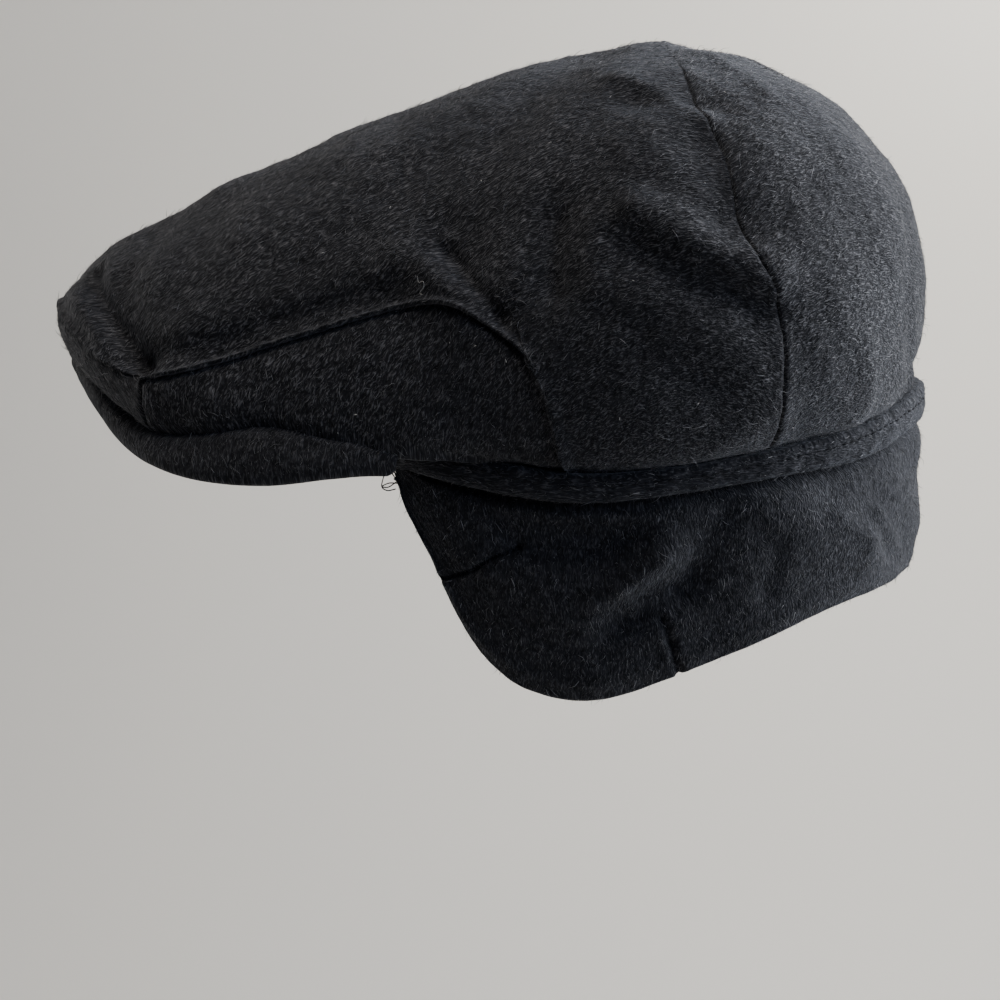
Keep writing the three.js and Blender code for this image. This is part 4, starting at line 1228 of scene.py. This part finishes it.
def add_cap():
    """All the visible pieces of the cap."""
    wool = {slot: brushed_wool(slot, *shades) for slot, shades in WOOLS.items()}
    thread = thread_material("black_thread", *THREAD_SHADES)
    lint = thread_material("pale_lint", *LINT_SHADES)
    backs, back_seams = back_places(), [("coronal", "emerging"), ("back", "plain")]
    sides, side_seams = side_places(), [("side", "under"), ("corner", "plain")]
    top_seams = [("coronal", "emerging"), ("side", "over"), ("front", "close")]
    strip_seams = [("front", "close under"), ("corner", "plain")]
    panels = [
        # piece, node, places, seams, angle of the nap
        ("top_cloth", "top_panel", top_places(), top_seams, 8),
        ("back_cloth_left", "back_panel_left", backs, back_seams, 42),
        ("back_cloth_right", "back_panel_right", mirrored(backs), back_seams, 42),
        ("side_cloth_left", "side_panel_left", sides, side_seams, 20),
        ("side_cloth_right", "side_panel_right", mirrored(sides), side_seams, 20),
        ("strip_cloth", "front_strip", strip_places(), strip_seams, 70),
    ]
    crown = []
    for name, node, places, seams, nap_angle in panels:
        crown.append(crown_cloth(places, seams, nap_angle, CROWN_SEED))
        obj = welded(mesh_object(name, *closed_wall(crown[-1], CLOTH, RIM_BULGE)))
        dressed(obj, wool["crown_wool"], "crown_wool", node)
    peak, band, flap = peak_cloth(), band_cloth(), flap_cloth()
    for name, node, shape in (
        ("peak_cloth", "peak", closed_wall(peak, PEAK_THICKNESS, PEAK_THICKNESS / 2)),
        ("band_cloth", "band", closed_ring(band)),
        ("flap_cloth", "flap", closed_wall(flap, CLOTH, CLOTH / 2)),
    ):
        slot = node + "_wool"
        obj = dressed(welded(mesh_object(name, *shape)), wool[slot], slot, node)
    for name, parts, material, slot in (
        ("band_stitches", band_stitches(band), thread, "band_wool"),
        ("tack_threads", tack_threads(), thread, "flap_wool"),
        ("lint_specks", pale_lint(), lint, "crown_wool"),
    ):
        dressed(mesh_object(name, *parts), material, slot)
    fibre = loose_fibres("nap_fibres", *FIBRE_SHADES)
    groups = [
        # piece, cloths, number of fibres, slot
        ("nap_top", crown[:1], 38000, "crown_wool"),
        ("nap_back", crown[1:3], 27000, "crown_wool"),
        ("nap_sides", [*crown[3:], peak], 21000, "crown_wool"),
        ("nap_flap", [flap, band], 32000, "flap_wool"),
    ]
    for k, (name, cloths, count, slot) in enumerate(groups):
        points, faces, shade = nap_fibres(cloths, count, FIBRE_SEED + k)
        dressed(mesh_object(name, points, faces, shade=shade), fibre, slot)


# The camera, in millimetres and degrees
CAMERA_TARGET = (-30, 0, -17.2)
CAMERA_DISTANCE = 840
CAMERA_PITCH = 12
LENS, SENSOR = 90, 36

# The floor and wall, in metres
FLOOR_Z = -0.75
WALL_Y, WALL_TOP = 1.6, 5
BEND_RADIUS, BEND_STEPS = 0.7, 25
SWEEP_REACH = 6
WALL_COLOUR = (0.635, 0.61, 0.565)

LIGHTS = [
    # name, place, target, size, power, colour
    ("window", (1.08, 0.23, 0.32), (0.02, 0, 0.02), (0.9, 0.9), 40, (0.92, 0.95, 1.0)),
    ("ceiling", (-0.06, -0.12, 0.85), (-0.03, 0, 0.06), (0.8, 0.6), 5.6, (1.0, 0.95, 0.89)),
    ("left_window", (-1.22, 0.56, -0.03), (-0.15, 0, 0.02), (0.5, 0.5), 5.6, (1.0, 0.96, 0.90)),
    ("room_fill", (1.20, -0.90, 0.50), (0.0, 0, 0.0), (0.7, 0.7), 7.2, (0.64, 0.76, 1.0)),
    ("wall_light", (0.80, 1.00, 0.48), (0.58, 1.6, 0.25), (0.4, 0.4), 15.5, (1.0, 0.97, 0.90)),
    ("wall_fill", (-0.9, 0.45, 0.9), (0.1, 1.5, 0.15), (1.0, 1.0), 3.8, (1.0, 0.96, 0.90)),
]
ROOM_COLOUR, ROOM_STRENGTH = (0.50, 0.62, 1.0), 0.05


def add_camera():
    """The photograph's view."""
    pitch = math.radians(CAMERA_PITCH)
    back = Vector((0, -math.cos(pitch), math.sin(pitch)))
    data = bpy.data.cameras.new("camera")
    data.lens = LENS
    data.sensor_width = SENSOR
    camera = bpy.data.objects.new("camera", data)
    camera.location = (Vector(CAMERA_TARGET) + back * CAMERA_DISTANCE) * MM
    camera.rotation_mode = "QUATERNION"
    camera.rotation_quaternion = (-back).to_track_quat("-Z", "Y")
    bpy.context.scene.collection.objects.link(camera)
    bpy.context.scene.camera = camera


def add_sweep():
    """A pale floor that bends up into a wall behind the cap."""
    turn = np.linspace(-math.pi / 2, 0, BEND_STEPS)
    bend = np.stack([WALL_Y - BEND_RADIUS + BEND_RADIUS * np.cos(turn),
                     FLOOR_Z + BEND_RADIUS + BEND_RADIUS * np.sin(turn)], -1)
    profile = np.vstack([[-SWEEP_REACH, FLOOR_Z], bend, [WALL_Y, WALL_TOP]])
    points = np.array([(x, y, z) for x in (-SWEEP_REACH, SWEEP_REACH) for y, z in profile]) / MM
    count = len(profile)
    faces = np.array([(k, k + 1, count + k + 1, count + k) for k in range(count - 1)])
    sweep = mesh_object("sweep", points, faces)
    sweep.data.shade_smooth()
    sweep.data.materials.append(plain_wall("pale_wall", WALL_COLOUR))


def area_light(name, place, target, size, power, colour):
    """A soft light aimed at a point."""
    data = bpy.data.lights.new(name, "AREA")
    data.shape = "RECTANGLE"
    data.size, data.size_y = size
    data.energy = power
    data.color = colour
    light = bpy.data.objects.new(name, data)
    light.location = place
    light.rotation_mode = "QUATERNION"
    light.rotation_quaternion = (Vector(target) - Vector(place)).to_track_quat("-Z", "Y")
    bpy.context.scene.collection.objects.link(light)


def add_lights():
    """A cool window behind on the right, soft light from above, and a lit wall."""
    for row in LIGHTS:
        area_light(*row)
    world = bpy.data.worlds.new("room")
    world.use_nodes = True
    background = world.node_tree.nodes["Background"]
    background.inputs["Color"].default_value = (*ROOM_COLOUR, 1)
    background.inputs["Strength"].default_value = ROOM_STRENGTH
    bpy.context.scene.world = world


add_camera()
add_sweep()
add_lights()
add_cap()
